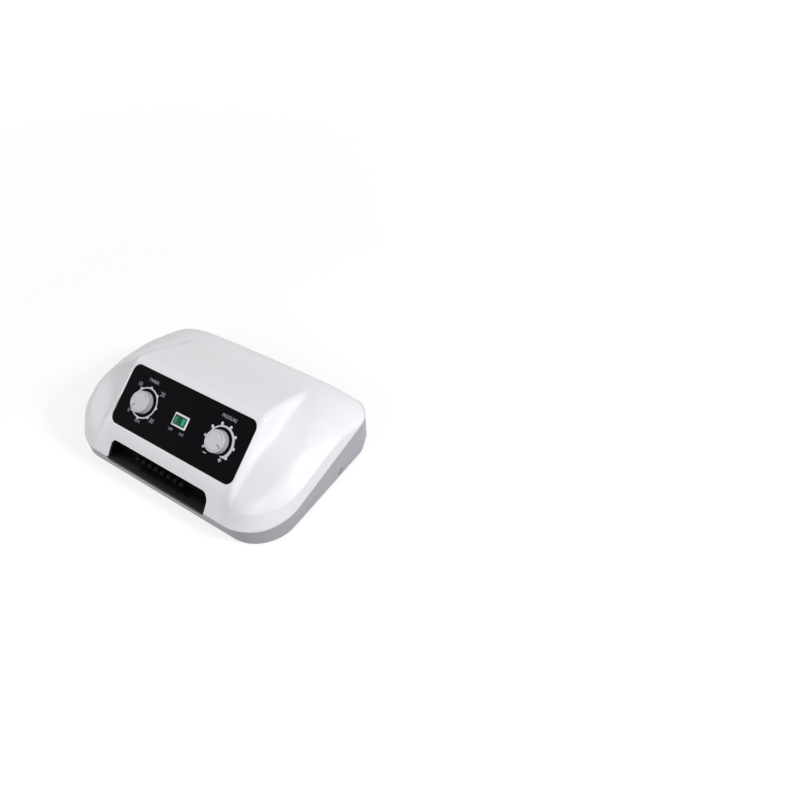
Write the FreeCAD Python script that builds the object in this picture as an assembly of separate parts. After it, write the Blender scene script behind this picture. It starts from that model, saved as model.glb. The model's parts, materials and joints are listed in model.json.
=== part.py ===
import FreeCAD, Part
import math
import os
from FreeCAD import Matrix, Placement, Rotation, Vector

# Compression therapy pump: a table-top air console. Millimetres, +Z up.
# Origin: centre of the footprint, on the surface that the rubber feet stand on.
# X runs left to right, Y from the front to the back.

# ---------------------------------------------------------------- driving dimensions
# Casing
BODY_WIDTH = 318.0          # left to right at the seam
BODY_DEPTH = 201.0          # front to back at the seam
WALL = 2.5                  # moulded wall of both shells
FOOT_PROUD = 2.5            # how far the feet lift the base off the table
SEAM_FRONT_Z = 21.5         # height of the seam along the front
SEAM_FLAT = 15.0            # depth over which the seam stays level, from the front
SEAM_SLOPE = 0.18           # rise of the seam towards the back, per mm
CORNER_FRONT = 57.0         # plan radius of the front corners
CORNER_REAR = 30.0          # plan radius of the rear corners
BASE_INSET_SIDE = 3.7       # how far the underside tucks in at the sides
BASE_INSET_FRONT = 2.3      # and at the front and back
BASE_CORNER = 45.0          # plan radius of the underside's front corners
BASE_TAPER_HEIGHT = 17.0    # height over which the base tapers out
WALL_LEVELS = ((0.0, 0.0, 0.0), (17.0, 2.6, 6.5), (28.0, 7.0, 15.0), (40.0, 15.0, 29.0))
                            # height over the seam, side tuck-in at the front and at the back
FRONT_LEAN = 0.884          # front wall: tuck-in per mm of height
CORNER_REAR_GAIN = 2.1      # growth of the rear corners' radius, per mm of height
SHOULDER_TOP_Z = 78.5       # highest line of the shoulders
SHOULDER_TOP_BACK = 57.0    # how far it lies from the back
SHOULDER_FALL = 32.8        # fall of the shoulders' long arc from its top to the front
REAR_ROUND = 23.0           # rounding from the top to the back wall

# Control face
FACE_TILT = 38.13           # degrees from level
FACE_BACK = 56.0            # centre of the label, from the front of the casing
FACE_Z = 74.5
LABEL_WIDTH = 190.0
LABEL_HEIGHT = 73.6
LABEL_CORNER = 10.0
LABEL_THICK = 1.0
LABEL_SINK = 1.6            # the label lies this far below the face around it
LABEL_MARGIN = 6.5          # plain border round the label
LABEL_PLAY = 0.15           # gap round the label in its pocket
FACE_WEB = 2.0              # wall left behind the label
RIDGE_SIDE_DRAFT = 0.25     # lean of the ridge's flanks, per mm
RIDGE_FOOT_WIDER = 1.3      # ridge beyond the label's border at the foot of the face
RIDGE_CREST_TUCK = 3.3      # how much narrower it is at the crest, each side
RIDGE_TIP_TUCK = 11.8       # and where it fades out at the back
RIDGE_TIP_BACK = 30.5       # how far it fades out from the back
RIDGE_TOP_FALL = 27.4       # fall of the ridge's arc from the crest to where it fades out
RIDGE_TOP_SLOPE = 0.19      # its fall just behind the crest
CREST_ROUND = 3.0

# Controls
KNOB_X = 58.2               # both knobs, left and right of the middle
KNOB_V = -0.9               # along the face, from the label's middle
KNOB_D = 26.5
KNOB_TAPER = 1.1            # the top is this much smaller across
KNOB_HEIGHT = 8.4
KNOB_LIFT = 0.6             # running gap over the label
KNOB_CAP = 1.5              # top of the knob over the shaft's end
KNOB_RIBS = 32
KNOB_RIB_R = 0.55
SHAFT_D = 6.0
SHAFT_PLAY = 0.05           # radial running clearance of both shafts
BUSH_D = 9.5
BUSH_PROUD = 2.6            # threaded bush above the label
NUT_ACROSS = 13.0
NUT_THICK = 1.8
TIMER_REST = -135.0         # pointer of the timer, degrees clockwise from the top
PRESSURE_REST = 110.0
ROCKER_U = -0.3
ROCKER_V = -0.5
BEZEL_L = 21.0
BEZEL_W = 15.0
BEZEL_H = 1.2
ROCKER_L = 16.4
ROCKER_W = 10.4
ROCKER_PLAY = 0.6           # gap at each end, in line with the panel
ROCKER_SIDE_PLAY = 0.3
ROCKER_PIN_D = 1.6
ROCKER_PIVOT_N = -2.0       # its pivot lies below the label
ROCKER_TILT = 9.0           # each way from its middle
SWITCH_WALL = 0.8           # side walls of the switch beyond the rocker's well
SWITCH_DEPTH = 19.0
CUTOUT_PLAY = 0.2

# Hose outlet recess at the front
SLOT_X = -3.0
SLOT_W = 153.0
SLOT_H = 20.0
SLOT_CORNER = 9.0
LINER_WALL = 1.8
LINER_DEPTH = 17.5          # from the front of the casing to the recess's back wall
NOZZLE_COUNT = 8
NOZZLE_PITCH = 10.0
NOZZLE_D = 6.6
NOZZLE_BORE = 3.6
NOZZLE_Z = 31.0
NOZZLE_REACH = 8.0          # beyond the recess's back wall
NOZZLE_TIP = 2.0            # length of the tapered tip
NOZZLE_ROOT_D = 7.8         # thicker root in the back wall
NOZZLE_PLAY = 0.1
MANIFOLD_T = 12.0
MANIFOLD_H = 14.0
BARB_COUNT = 4              # hoses that feed the outlets from inside
TUBE_D = 6.0
TUBE_WALL = 1.2
TUBE_BEND = 8.0             # radius of every bend
TUBE_STAGGER = 0.75         # each hose turns this share of its diameter behind the last
TUBE_END_GAP = 0.2          # a hose stops just short of the face its barb stands on
BARB_L = 7.0
BARB_BORE = 2.0

# Inside
TIMER_BOX = (42.0, 42.0, 28.0)
REGULATOR_D = 26.0
REGULATOR_L = 34.0
PLUNGER_D = 10.0
PLUNGER_L = 7.0
PLUNGER_GAP = 3.0           # room for its travel, 4 mm per turn of the knob
SPRING_GAP = 0.3
SPRING_WIRE = 0.8
SPRING_TURNS = 4
TIMER_SHAFT_IN = 14.0
SPINDLE_IN = 10.0           # spindle's length inside the valve
PUMP_FROM_SIDE = 107.0      # middle of the pump, from the right side
PUMP_FROM_BACK = 67.5
PUMP_AXIS_Z = 41.0
PUMP_LENGTH = 96.0          # between the outer faces of its end walls
PUMP_DEPTH = 66.0
PUMP_WALL = 4.0
PUMP_WALL_H = 52.0
PUMP_BED_Z = 13.0
BED_T = 3.0
ROD_W = 12.0
ROD_H = 16.0
ROD_TRAVEL = 1.5
HEAD_D = 44.0
HEAD_L = 24.0
CHAMBER_L = 11.0
CORE_L = 60.0
CORE_LEG = 12.0
CORE_YOKE = 8.0
DIAPHRAGM_T = 2.0
DISC_D = 26.0
DISC_T = 4.0
DISC_PLAY = 0.3             # between a disc and the rim of its diaphragm
COIL_GAP = 2.5              # between the coils' poles and the magnets
MOUNT_D = 14.0
MOUNT_HOLE = 5.0
MOUNT_SEAT = 1.5
VALVE_FROM_SIDE = 63.0      # rotary distributor, from the left side
VALVE_SIZE = 54.0
VALVE_H = 17.0
VALVE_Z = 30.0
VALVE_LID = 4.0
ROTOR_D = 34.0
ROTOR_H = 5.0
ROTOR_PLAY = 0.3
ROTOR_SHAFT_D = 5.0
ROTOR_SHAFT_IN = 9.0
OUTLET_PITCH = 12.0
MOTOR_POST_H = 3.0
VALVE_MOTOR_D = 48.0
BOARD = (62.0, 42.0, 1.6)   # circuit board
BOARD_SCREW_D = 2.4
BOARD_FROM_SIDE = 65.0
BOARD_FROM_FRONT = 66.0
BOARD_Z = 15.0
POST_D = 7.0
BOSS_D = 9.0
BOSS_FROM_SIDE = 27.0
BOSS_FROM_FRONT = 52.5
BOSS_FROM_BACK = 32.5
SCREW_D = 3.4
SCREW_HEAD_D = 6.2
SCREW_HEAD_H = 2.4
SCREW_SINK = 5.0            # depth of the screw wells in the underside
SCREW_GRIP = 9.0            # screw length in the upper cover
FOOT_D = 16.0
FOOT_STEM_D = 6.0
FOOT_FROM_SIDE = 37.0
FOOT_FROM_FRONT = 38.5
FOOT_FROM_BACK = 28.5
INLET_FROM_SIDE = 63.0
INLET_Z = 33.0
INLET_W = 27.0
INLET_H = 20.0
INLET_DEPTH = 20.0
INLET_SKIN = 1.4
PIN_SINK = 5.0              # the inlet's blades end this far inside its mouth
FUSE_FROM_INLET = 44.0
FUSE_D = 12.0
SIDE_SLOT_FROM_BACK = 72.0  # the single air slot low in each side
SIDE_SLOT_Z = 12.3
SIDE_SLOT_W = 3.0
SIDE_SLOT_L = 9.0
SIDE_SLOT_LEAN = 40.0
GRILLE_COUNT = 9            # air slots under the pump
GRILLE_PITCH = 8.0

# ---------------------------------------------------------------- worked out from them
BASE_Z = FOOT_PROUD
FLOOR_Z = BASE_Z + WALL
FRONT_Y = -BODY_DEPTH / 2
REAR_Y = BODY_DEPTH / 2
SEAM_BREAK_Y = FRONT_Y + SEAM_FLAT
SHOULDER_TOP_Y = REAR_Y - SHOULDER_TOP_BACK
SHOULDER_RADIUS = ((SHOULDER_TOP_Y - FRONT_Y) ** 2 / SHOULDER_FALL + SHOULDER_FALL) / 2
FACE_Y = FRONT_Y + FACE_BACK
RIDGE_HALF_FRONT = LABEL_WIDTH / 2 + LABEL_MARGIN + RIDGE_FOOT_WIDER
RIDGE_HALF_CREST = RIDGE_HALF_FRONT - RIDGE_CREST_TUCK
RIDGE_HALF_TIP = RIDGE_HALF_FRONT - RIDGE_TIP_TUCK
RIDGE_TIP_Y = REAR_Y - RIDGE_TIP_BACK
TILT_SIN = math.sin(math.radians(FACE_TILT))
TILT_COS = math.cos(math.radians(FACE_TILT))
CREST_Y = FACE_Y + (LABEL_HEIGHT / 2 + LABEL_MARGIN) * TILT_COS - LABEL_SINK * TILT_SIN
RIDGE_RUN = RIDGE_TIP_Y - CREST_Y
RIDGE_TOP_RADIUS = RIDGE_RUN ** 2 / 2 / (RIDGE_TOP_FALL - RIDGE_TOP_SLOPE * RIDGE_RUN)
POCKET_N = -LABEL_THICK
WEB_N = POCKET_N - FACE_WEB
KNOB_TOP_N = KNOB_LIFT + KNOB_HEIGHT
KNOB_TOP_D = KNOB_D - KNOB_TAPER
ROCKER_END_R = ROCKER_L / 2 + 0.5       # its ends are arcs about the pivot
SWITCH_L = ROCKER_L + 2 * (ROCKER_PLAY + SWITCH_WALL)
SWITCH_W = ROCKER_W + 2 * (ROCKER_SIDE_PLAY + SWITCH_WALL)
REGULATOR_END_N = WEB_N - REGULATOR_L + 4.0
REGULATOR_PORT_N = REGULATOR_END_N + 3.0
PLUNGER_TOP_N = WEB_N - SPINDLE_IN - PLUNGER_GAP
LINER_BACK_Y = FRONT_Y + LINER_DEPTH
BARB_D = TUBE_D - 2 * TUBE_WALL - 0.1
PUMP_X = BODY_WIDTH / 2 - PUMP_FROM_SIDE
PUMP_Y = REAR_Y - PUMP_FROM_BACK
PUMP_X0 = PUMP_X - PUMP_LENGTH / 2
PUMP_X1 = PUMP_X + PUMP_LENGTH / 2
HEAD_BARB_Z = PUMP_AXIS_Z + 5.0
RIGHT_BARB_X = PUMP_X1 + DIAPHRAGM_T + CHAMBER_L - 4.0
VALVE_X = VALVE_FROM_SIDE - BODY_WIDTH / 2
VALVE_Y = PUMP_Y
VALVE_TOP = VALVE_Z + VALVE_H
BOARD_X = BOARD_FROM_SIDE - BODY_WIDTH / 2
BOARD_Y = FRONT_Y + BOARD_FROM_FRONT
INLET_X = INLET_FROM_SIDE - BODY_WIDTH / 2
FUSE_X = INLET_X + FUSE_FROM_INLET
BIG = 400.0                 # reaches past the casing on every side


def seam_z(y):
    """Height of the seam at a depth y: level at the front, then rising."""
    return SEAM_FRONT_Z + SEAM_SLOPE * max(0.0, y - SEAM_BREAK_Y)


def face_point(v, n):
    """(y, z) of a point v up the control face and n out of the label's surface."""
    return (FACE_Y + v * TILT_COS - n * TILT_SIN, FACE_Z + v * TILT_SIN + n * TILT_COS)


def on_face(shape, u, v):
    """Turns a shape built on X, Y with Z outwards onto the control face at u, v."""
    y, z = face_point(v, 0.0)
    placed = shape.copy()
    tilted = Placement(Vector(u, y, z), Rotation(Vector(1, 0, 0), FACE_TILT))
    placed.Placement = tilted * shape.Placement
    return placed


# ---------------------------------------------------------------- small builders
def box(x0, x1, y0, y1, z0, z1):
    return Part.makeBox(x1 - x0, y1 - y0, z1 - z0, Vector(x0, y0, z0))


def rod(x, y, z, diameter, length, axis="Z"):
    """A cylinder from a point along +X, +Y or +Z."""
    ways = {"X": Vector(1, 0, 0), "Y": Vector(0, 1, 0), "Z": Vector(0, 0, 1)}
    return Part.makeCylinder(diameter / 2, length, Vector(x, y, z), ways[axis])


def tube(x, y, z, outer, inner, length, axis="Z"):
    return rod(x, y, z, outer, length, axis).cut(rod(x, y, z, inner, length, axis))


def union(shapes):
    joined = shapes[0]
    for shape in shapes[1:]:
        joined = joined.fuse(shape)
    return joined.removeSplitter()


def group(shapes):
    """Separate solids that share one node."""
    solids = []
    for shape in shapes:
        solids.extend(shape.Solids)
    return Part.makeCompound(solids)


def polygon(points):
    return Part.makePolygon([Vector(*p) for p in points] + [Vector(*points[0])])


def round_corner(before, corner, after, radius):
    """Tangent arc that rounds a corner of an outline."""
    into, out = (corner - before).normalize(), (after - corner).normalize()
    half = math.acos(max(-1.0, min(1.0, into.dot(out)))) / 2
    first = corner - into * (radius * math.tan(half))
    last = corner + out * (radius * math.tan(half))
    middle = corner + (out - into).normalize() * (radius / math.cos(half) - radius)
    return Part.Arc(first, middle, last).toShape()


def plan_outline(side_front, side_rear, front, rear, r_front, r_rear, z):
    """Rounded outline in plan; its four edges are tucked in from the widest outline."""
    y0, y1 = FRONT_Y + front, REAR_Y - rear
    x0, x1 = BODY_WIDTH / 2 - side_front, BODY_WIDTH / 2 - side_rear
    corners = [Vector(x0, y0, z), Vector(x1, y1, z), Vector(-x1, y1, z), Vector(-x0, y0, z)]
    radii = [r_front, r_rear, r_rear, r_front]
    arcs = []
    for i in range(4):
        arcs.append(round_corner(corners[i - 1], corners[i], corners[(i + 1) % 4], radii[i]))
    edges = []
    for arc, after in zip(arcs, arcs[1:] + arcs[:1]):
        edges += [arc, Part.makeLine(arc.Vertexes[1].Point, after.Vertexes[0].Point)]
    return Part.Wire(edges)


def rounded_plate(width, height, corner, z0, z1):
    """Plate with rounded corners about the origin, from z0 to z1."""
    plate = box(-width / 2, width / 2, -height / 2, height / 2, z0, z1)
    upright = [e for e in plate.Edges if abs(e.Vertexes[0].Z - e.Vertexes[1].Z) > 1e-6]
    return plate.makeFillet(corner, upright)


def extrude_profile(edges):
    """Solid across the whole width from a closed outline in the plane x = 0."""
    face = Part.Face(Part.Wire(edges))
    face.translate(Vector(-BIG, 0, 0))
    return face.extrude(Vector(2 * BIG, 0, 0))


# ---------------------------------------------------------------- casing volumes
def above_seam():
    """Everything above the seam surface."""
    points = [(0, -BIG, SEAM_FRONT_Z), (0, SEAM_BREAK_Y, SEAM_FRONT_Z),
              (0, BIG, seam_z(BIG)), (0, BIG, BIG), (0, -BIG, BIG)]
    return extrude_profile(polygon(points).Edges)


def walls_volume(t):
    """The leaning walls over the seam as a loft, sheared to follow the seam's rise."""
    sections = []
    for height, side_front, side_rear in ((-12.0, 0.0, 0.0),) + WALL_LEVELS:
        over = max(0.0, height)
        sections.append(plan_outline(side_front + t, side_rear + t, FRONT_LEAN * over + t,
                                     side_rear / 10 + t, CORNER_FRONT - t,
                                     CORNER_REAR + CORNER_REAR_GAIN * over - t, height))
    loft = Part.makeLoft(sections, True, True)
    loft.translate(Vector(0, 0, SEAM_FRONT_Z - SEAM_SLOPE * FRONT_Y))
    shear = Matrix()
    shear.A32 = SEAM_SLOPE
    return loft.transformGeometry(shear)


def shoulder_volume(t):
    """Space under the shoulders' long arc, with the rounded back edge."""
    radius = SHOULDER_RADIUS - t
    centre_z = SHOULDER_TOP_Z - SHOULDER_RADIUS
    rear, small = REAR_Y - t, max(REAR_ROUND - t, 2.0)
    small_y = rear - small
    small_z = centre_z + math.sqrt((radius - small) ** 2 - (small_y - SHOULDER_TOP_Y) ** 2)
    way = math.atan2(small_z - centre_z, small_y - SHOULDER_TOP_Y)

    def big_arc(angle):
        return Vector(0, SHOULDER_TOP_Y + radius * math.cos(angle), centre_z + radius * math.sin(angle))

    def small_arc(angle):
        return Vector(0, small_y + small * math.cos(angle), small_z + small * math.sin(angle))

    lead_angle = math.acos((FRONT_Y - 30 - SHOULDER_TOP_Y) / radius)
    lead, join, end = big_arc(lead_angle), big_arc(way), small_arc(0.0)
    foot_front, foot_rear = Vector(0, lead.y, 0), Vector(0, rear, 0)
    return extrude_profile([
        Part.Arc(lead, big_arc((lead_angle + way) / 2), join).toShape(),
        Part.Arc(join, small_arc(way / 2), end).toShape(),
        Part.makeLine(end, foot_rear), Part.makeLine(foot_rear, foot_front),
        Part.makeLine(foot_front, lead)])


def ridge_volume(t, face_t):
    """The raised ridge that carries the control face: flanks and profile together."""
    z_low, z_high = SHOULDER_TOP_Z - 34.0, FACE_Z + 32.0
    front_y, front_z = face_point(-LABEL_HEIGHT / 2 - LABEL_MARGIN, LABEL_SINK)
    crest_y, crest_z = face_point(LABEL_HEIGHT / 2 + LABEL_MARGIN, LABEL_SINK)
    edges_at = [(front_y, front_z, RIDGE_HALF_FRONT), (crest_y, crest_z, RIDGE_HALF_CREST),
                (RIDGE_TIP_Y, SHOULDER_TOP_Z - 1.2, RIDGE_HALF_TIP)]

    def ring(z):
        half = [h + RIDGE_SIDE_DRAFT * (z_edge - z) - t for y, z_edge, h in edges_at]
        right = [(x, y, z) for x, (y, z_edge, h) in zip(half, edges_at)]
        left = [(-x, y, z) for x, y, z in reversed(right)]
        return polygon(right + left)

    flanks = Part.makeLoft([ring(z_low), ring(z_high)], True, True)
    # profile: up the face, round the crest, then the long arc down to the back
    top_y = crest_y - RIDGE_TOP_SLOPE * RIDGE_TOP_RADIUS
    top_z = crest_z + RIDGE_TOP_SLOPE ** 2 * RIDGE_TOP_RADIUS / 2 - RIDGE_TOP_RADIUS
    radius = RIDGE_TOP_RADIUS - t

    def top_arc(y):
        return Vector(0, y, top_z + math.sqrt(radius ** 2 - (y - top_y) ** 2))

    def face_line(v):
        y, z = face_point(v, LABEL_SINK - face_t)
        return Vector(0, y, z)

    # v where the face meets the arc, by halving
    low, high = 0.0, LABEL_HEIGHT
    for _ in range(60):
        mid = (low + high) / 2
        point = face_line(mid)
        if point.z < top_arc(point.y).z:
            low = mid
        else:
            high = mid
    crest = face_line(low)
    setback = CREST_ROUND * math.tan(math.radians(FACE_TILT) / 2)
    before, after = face_line(low - setback), top_arc(crest.y + setback)
    middle = (before + after) * 0.25 + crest * 0.5
    foot = face_line(-LABEL_HEIGHT / 2 - LABEL_MARGIN + face_t)
    inside, back = Vector(0, foot.y + 12, z_low + t), Vector(0, RIDGE_TIP_Y, z_low + t)
    end = top_arc(RIDGE_TIP_Y)
    profile = extrude_profile([
        Part.makeLine(foot, before), Part.Arc(before, middle, after).toShape(),
        Part.Arc(after, top_arc((after.y + end.y) / 2), end).toShape(),
        Part.makeLine(end, back), Part.makeLine(back, inside), Part.makeLine(inside, foot)])
    return flanks.common(profile)


def upper_volume(t, face_t):
    """Outline of the casing over the seam; t and face_t shrink it to the inside."""
    body = walls_volume(t).common(shoulder_volume(t))
    return body.fuse(ridge_volume(t, face_t)).removeSplitter()


def lower_volume(t):
    """Outline of the casing under the seam: tapered base, then upright to the seam."""
    side, end = BASE_INSET_SIDE + t, BASE_INSET_FRONT + t
    under = plan_outline(side, side, end, end, BASE_CORNER - t, CORNER_REAR - t, BASE_Z)
    sections = [under]
    for z in (BASE_Z + BASE_TAPER_HEIGHT, seam_z(REAR_Y) + 10):
        sections.append(plan_outline(t, t, t, t, CORNER_FRONT - t, CORNER_REAR - t, z))
    return Part.makeLoft(sections, True, True)


def slot_volume(grow, y0, y1):
    """The hose recess as a prism along Y: straight sill, rounded upper corners."""
    half = SLOT_W / 2 + grow
    z0, z1, r = SEAM_FRONT_Z - grow, SEAM_FRONT_Z + SLOT_H + grow, SLOT_CORNER + grow
    slot = box(SLOT_X - half, SLOT_X + half, y0, y1, z0, z1)
    rounded = [e for e in slot.Edges
               if abs(e.Vertexes[0].Y - e.Vertexes[1].Y) > 1e-6 and e.Vertexes[0].Z > z1 - 1e-6]
    return slot.makeFillet(r, rounded)


def boss_places():
    """Middles of the four screw bosses in plan."""
    x = BODY_WIDTH / 2 - BOSS_FROM_SIDE
    ys = (FRONT_Y + BOSS_FROM_FRONT, REAR_Y - BOSS_FROM_BACK)
    return [(side * x, y) for side in (-1, 1) for y in ys]


def foot_places():
    """Middles of the four feet in plan."""
    x = BODY_WIDTH / 2 - FOOT_FROM_SIDE
    ys = (FRONT_Y + FOOT_FROM_FRONT, REAR_Y - FOOT_FROM_BACK)
    return [(side * x, y) for side in (-1, 1) for y in ys]


# ---------------------------------------------------------------- casing
def top_shell(outside, inside, over_seam):
    """White upper cover: hollow, with label pocket, hose slot and four screw bosses."""
    shell = outside.cut(inside).common(over_seam)
    pocket = rounded_plate(LABEL_WIDTH + 2 * LABEL_PLAY, LABEL_HEIGHT + 2 * LABEL_PLAY,
                           LABEL_CORNER + LABEL_PLAY, POCKET_N, 20.0)
    shell = shell.cut(on_face(pocket, 0, 0))
    for hole in control_holes():
        shell = shell.cut(hole)
    shell = shell.cut(slot_volume(0.0, FRONT_Y - 10, FRONT_Y + 45).cut(inside))
    for x, y in boss_places():
        boss = tube(x, y, 0, BOSS_D, SCREW_D + 0.1, BIG / 2)
        shell = shell.fuse(boss.common(inside).common(over_seam))
    return shell.removeSplitter()


def base_tray(over_seam):
    """Grey lower tray: floor, walls, screw pillars, feet seats, air slots, rear cut-outs."""
    cavity = lower_volume(WALL).cut(box(-BIG, BIG, -BIG, BIG, 0, FLOOR_Z))
    inner = cavity.cut(over_seam)
    tray = lower_volume(0.0).cut(over_seam).cut(cavity)
    for x, y in boss_places():
        tray = tray.fuse(rod(x, y, BASE_Z, BOSS_D, 60).common(inner))
    for x, y in pump_mount_places():
        tray = tray.fuse(rod(x, y, FLOOR_Z, MOUNT_D, MOUNT_SEAT))
    for x, y in board_post_places():
        tray = tray.fuse(rod(x, y, FLOOR_Z, POST_D, BOARD_Z - FLOOR_Z))
    for x, y in boss_places():
        tray = tray.cut(rod(x, y, 0, SCREW_D + 2 * CUTOUT_PLAY, 90))
        tray = tray.cut(rod(x, y, 0, SCREW_HEAD_D + 0.6, BASE_Z + SCREW_SINK))
    for x, y in foot_places():
        tray = tray.cut(rod(x, y, 0, FOOT_STEM_D, 20))
    for x, y in board_post_places():
        tray = tray.cut(rod(x, y, FLOOR_Z + 1.0, BOARD_SCREW_D + 0.2, 20))
    for side in (-1, 1):
        tray = tray.cut(side_slot(side))
    for number in range(GRILLE_COUNT):
        x = PUMP_X + GRILLE_PITCH * (number - (GRILLE_COUNT - 1) / 2)
        tray = tray.cut(box(x - 1.5, x + 1.5, PUMP_Y - 16, PUMP_Y + 16, 0, FLOOR_Z + 1))
    tray = tray.cut(inlet_block(CUTOUT_PLAY, REAR_Y - 12, REAR_Y + 5))
    tray = tray.cut(rod(FUSE_X, REAR_Y - 12, INLET_Z, FUSE_D + 2 * CUTOUT_PLAY, 20, "Y"))
    return tray.removeSplitter()


def side_slot(side):
    """The slanted air slot through one side wall of the base."""
    slot = box(-12, 12, -SIDE_SLOT_W / 2, SIDE_SLOT_W / 2, -SIDE_SLOT_L / 2, SIDE_SLOT_L / 2)
    slot.rotate(Vector(0, 0, 0), Vector(1, 0, 0), -SIDE_SLOT_LEAN)
    slot.translate(Vector(side * (BODY_WIDTH / 2 - WALL), REAR_Y - SIDE_SLOT_FROM_BACK, SIDE_SLOT_Z))
    return slot


def rubber_foot(x, y):
    """Foot with a stem through the floor and a retaining head above it."""
    pad = rod(x, y, 0, FOOT_D, FOOT_PROUD)
    rim = [e for e in pad.Edges if abs(e.BoundBox.ZMax) < 1e-6]
    pad = pad.makeChamfer(0.5, rim)
    stem = rod(x, y, FOOT_PROUD, FOOT_STEM_D - 0.1, WALL)
    return union([pad, stem, rod(x, y, FLOOR_Z, FOOT_STEM_D + 2, 1.2)])


def case_screw(x, y):
    """Cross-head screw from the underside up into the upper cover's boss."""
    head_z = BASE_Z + SCREW_SINK - SCREW_HEAD_H
    head = rod(x, y, head_z, SCREW_HEAD_D, SCREW_HEAD_H)
    cross = box(x - 2, x + 2, y - 0.4, y + 0.4, 0, head_z + 1.2)
    cross = cross.fuse(box(x - 0.4, x + 0.4, y - 2, y + 2, 0, head_z + 1.2))
    shank_z = head_z + SCREW_HEAD_H
    return head.cut(cross).fuse(rod(x, y, shank_z, SCREW_D, seam_z(y) + SCREW_GRIP - shank_z))


# ---------------------------------------------------------------- control face
def control_holes():
    """Holes through the face for the two threaded bushes and for the switch."""
    half_l, half_w = SWITCH_L / 2 + CUTOUT_PLAY, SWITCH_W / 2 + CUTOUT_PLAY
    holes = [on_face(box(-half_l, half_l, -half_w, half_w, -20, 10), ROCKER_U, ROCKER_V)]
    for u in (-KNOB_X, KNOB_X):
        holes.append(on_face(rod(0, 0, -20, BUSH_D + 2 * CUTOUT_PLAY, 30), u, KNOB_V))
    return holes


def control_label():
    """Black label plate with clearance holes for the bushes and the switch."""
    label = on_face(rounded_plate(LABEL_WIDTH, LABEL_HEIGHT, LABEL_CORNER, POCKET_N, 0.0), 0, 0)
    for hole in control_holes():
        label = label.cut(hole)
    return label


def knob(u, rest_angle):
    """Ribbed dial knob, hollow under its skirt, with a pointer groove on top."""
    cap = Part.makeCone(KNOB_D / 2, KNOB_TOP_D / 2, KNOB_HEIGHT, Vector(0, 0, KNOB_LIFT))
    rim = [e for e in cap.Edges if e.BoundBox.ZMin > KNOB_TOP_N - 1e-6]
    cap = cap.makeChamfer(0.6, rim)
    for number in range(KNOB_RIBS):
        angle = 2 * math.pi * number / KNOB_RIBS
        reach = KNOB_D / 2 + 0.15
        foot = Vector(reach * math.cos(angle), reach * math.sin(angle), KNOB_LIFT - 1)
        groove = Part.makeCylinder(KNOB_RIB_R, KNOB_HEIGHT - 1.8, foot)
        cap = cap.cut(groove)
    ring = tube(0, 0, KNOB_TOP_N - 0.35, KNOB_TOP_D - 3.0, KNOB_TOP_D - 4.2, 1)
    pointer = box(-0.45, 0.45, KNOB_TOP_D / 2 - 7.2, KNOB_TOP_D / 2 - 2.1,
                  KNOB_TOP_N - 0.4, KNOB_TOP_N + 1)
    cap = cap.cut(ring).cut(pointer)
    hollow = rod(0, 0, 0, NUT_ACROSS + 5.0, KNOB_LIFT + BUSH_PROUD + 0.4)
    bore = rod(0, 0, 0, SHAFT_D, KNOB_TOP_N - KNOB_CAP)
    cap = cap.cut(hollow).cut(bore)
    cap.rotate(Vector(0, 0, 0), Vector(0, 0, 1), -rest_angle)
    return on_face(cap, u, KNOB_V)


def knob_shaft(u, length_in):
    """Shaft from inside its device, up through the bush into the knob."""
    low = WEB_N - length_in
    return on_face(rod(0, 0, low, SHAFT_D, KNOB_TOP_N - KNOB_CAP - low), u, KNOB_V)


def panel_nut(u):
    """Thin hexagon nut that clamps a bush to the face."""
    points = []
    for number in range(6):
        angle = math.radians(60 * number)
        radius = NUT_ACROSS / math.sqrt(3)
        points.append((radius * math.cos(angle), radius * math.sin(angle), 0.0))
    nut = Part.Face(polygon(points)).extrude(Vector(0, 0, NUT_THICK))
    return on_face(nut.cut(rod(0, 0, -1, BUSH_D, 5)), u, KNOB_V)


def shaft_bore(depth):
    """Running bore for a control shaft, from above the bush down to a depth."""
    return rod(0, 0, -depth, SHAFT_D + 2 * SHAFT_PLAY, depth + 10)


def timer_body():
    """Clockwork timer: sealed box behind the face, with its threaded bush."""
    length, width, depth = TIMER_BOX
    case = box(-length / 2, length / 2, -width / 2, width / 2, WEB_N - depth, WEB_N)
    upright = [e for e in case.Edges if abs(e.Vertexes[0].Z - e.Vertexes[1].Z) > 1]
    case = case.makeFillet(3.0, upright)
    tabs = [box(x - 0.4, x + 0.4, -3, 3, WEB_N - depth - 7, WEB_N - depth) for x in (-10, 0, 10)]
    body = union([case, rod(0, 0, WEB_N, BUSH_D, BUSH_PROUD - WEB_N)] + tabs)
    return on_face(body.cut(shaft_bore(TIMER_SHAFT_IN + 1.0 - WEB_N)), -KNOB_X, KNOB_V)


def regulator_body():
    """Bleed valve: turned body with a bore for the spindle, plunger and spring."""
    body = union([rod(0, 0, WEB_N - REGULATOR_L, REGULATOR_D, REGULATOR_L),
                  rod(0, 0, WEB_N, BUSH_D, BUSH_PROUD - WEB_N)])
    cavity = rod(0, 0, REGULATOR_END_N, PLUNGER_D + 2 * SHAFT_PLAY, REGULATOR_L - 12)
    body = body.cut(cavity).cut(shaft_bore(SPINDLE_IN + 1.0 - WEB_N))
    port_x = REGULATOR_D / 2 - 2
    body = union([body, rod(port_x, 0, REGULATOR_PORT_N, BARB_D, BARB_L + 2, "X")])
    body = body.cut(rod(0, 0, REGULATOR_PORT_N, BARB_BORE, REGULATOR_D, "X"))
    return on_face(body, KNOB_X, KNOB_V)


def regulator_plunger():
    """Piston that the spindle's thread pushes against the spring."""
    return on_face(rod(0, 0, PLUNGER_TOP_N - PLUNGER_L, PLUNGER_D, PLUNGER_L), KNOB_X, KNOB_V)


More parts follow.
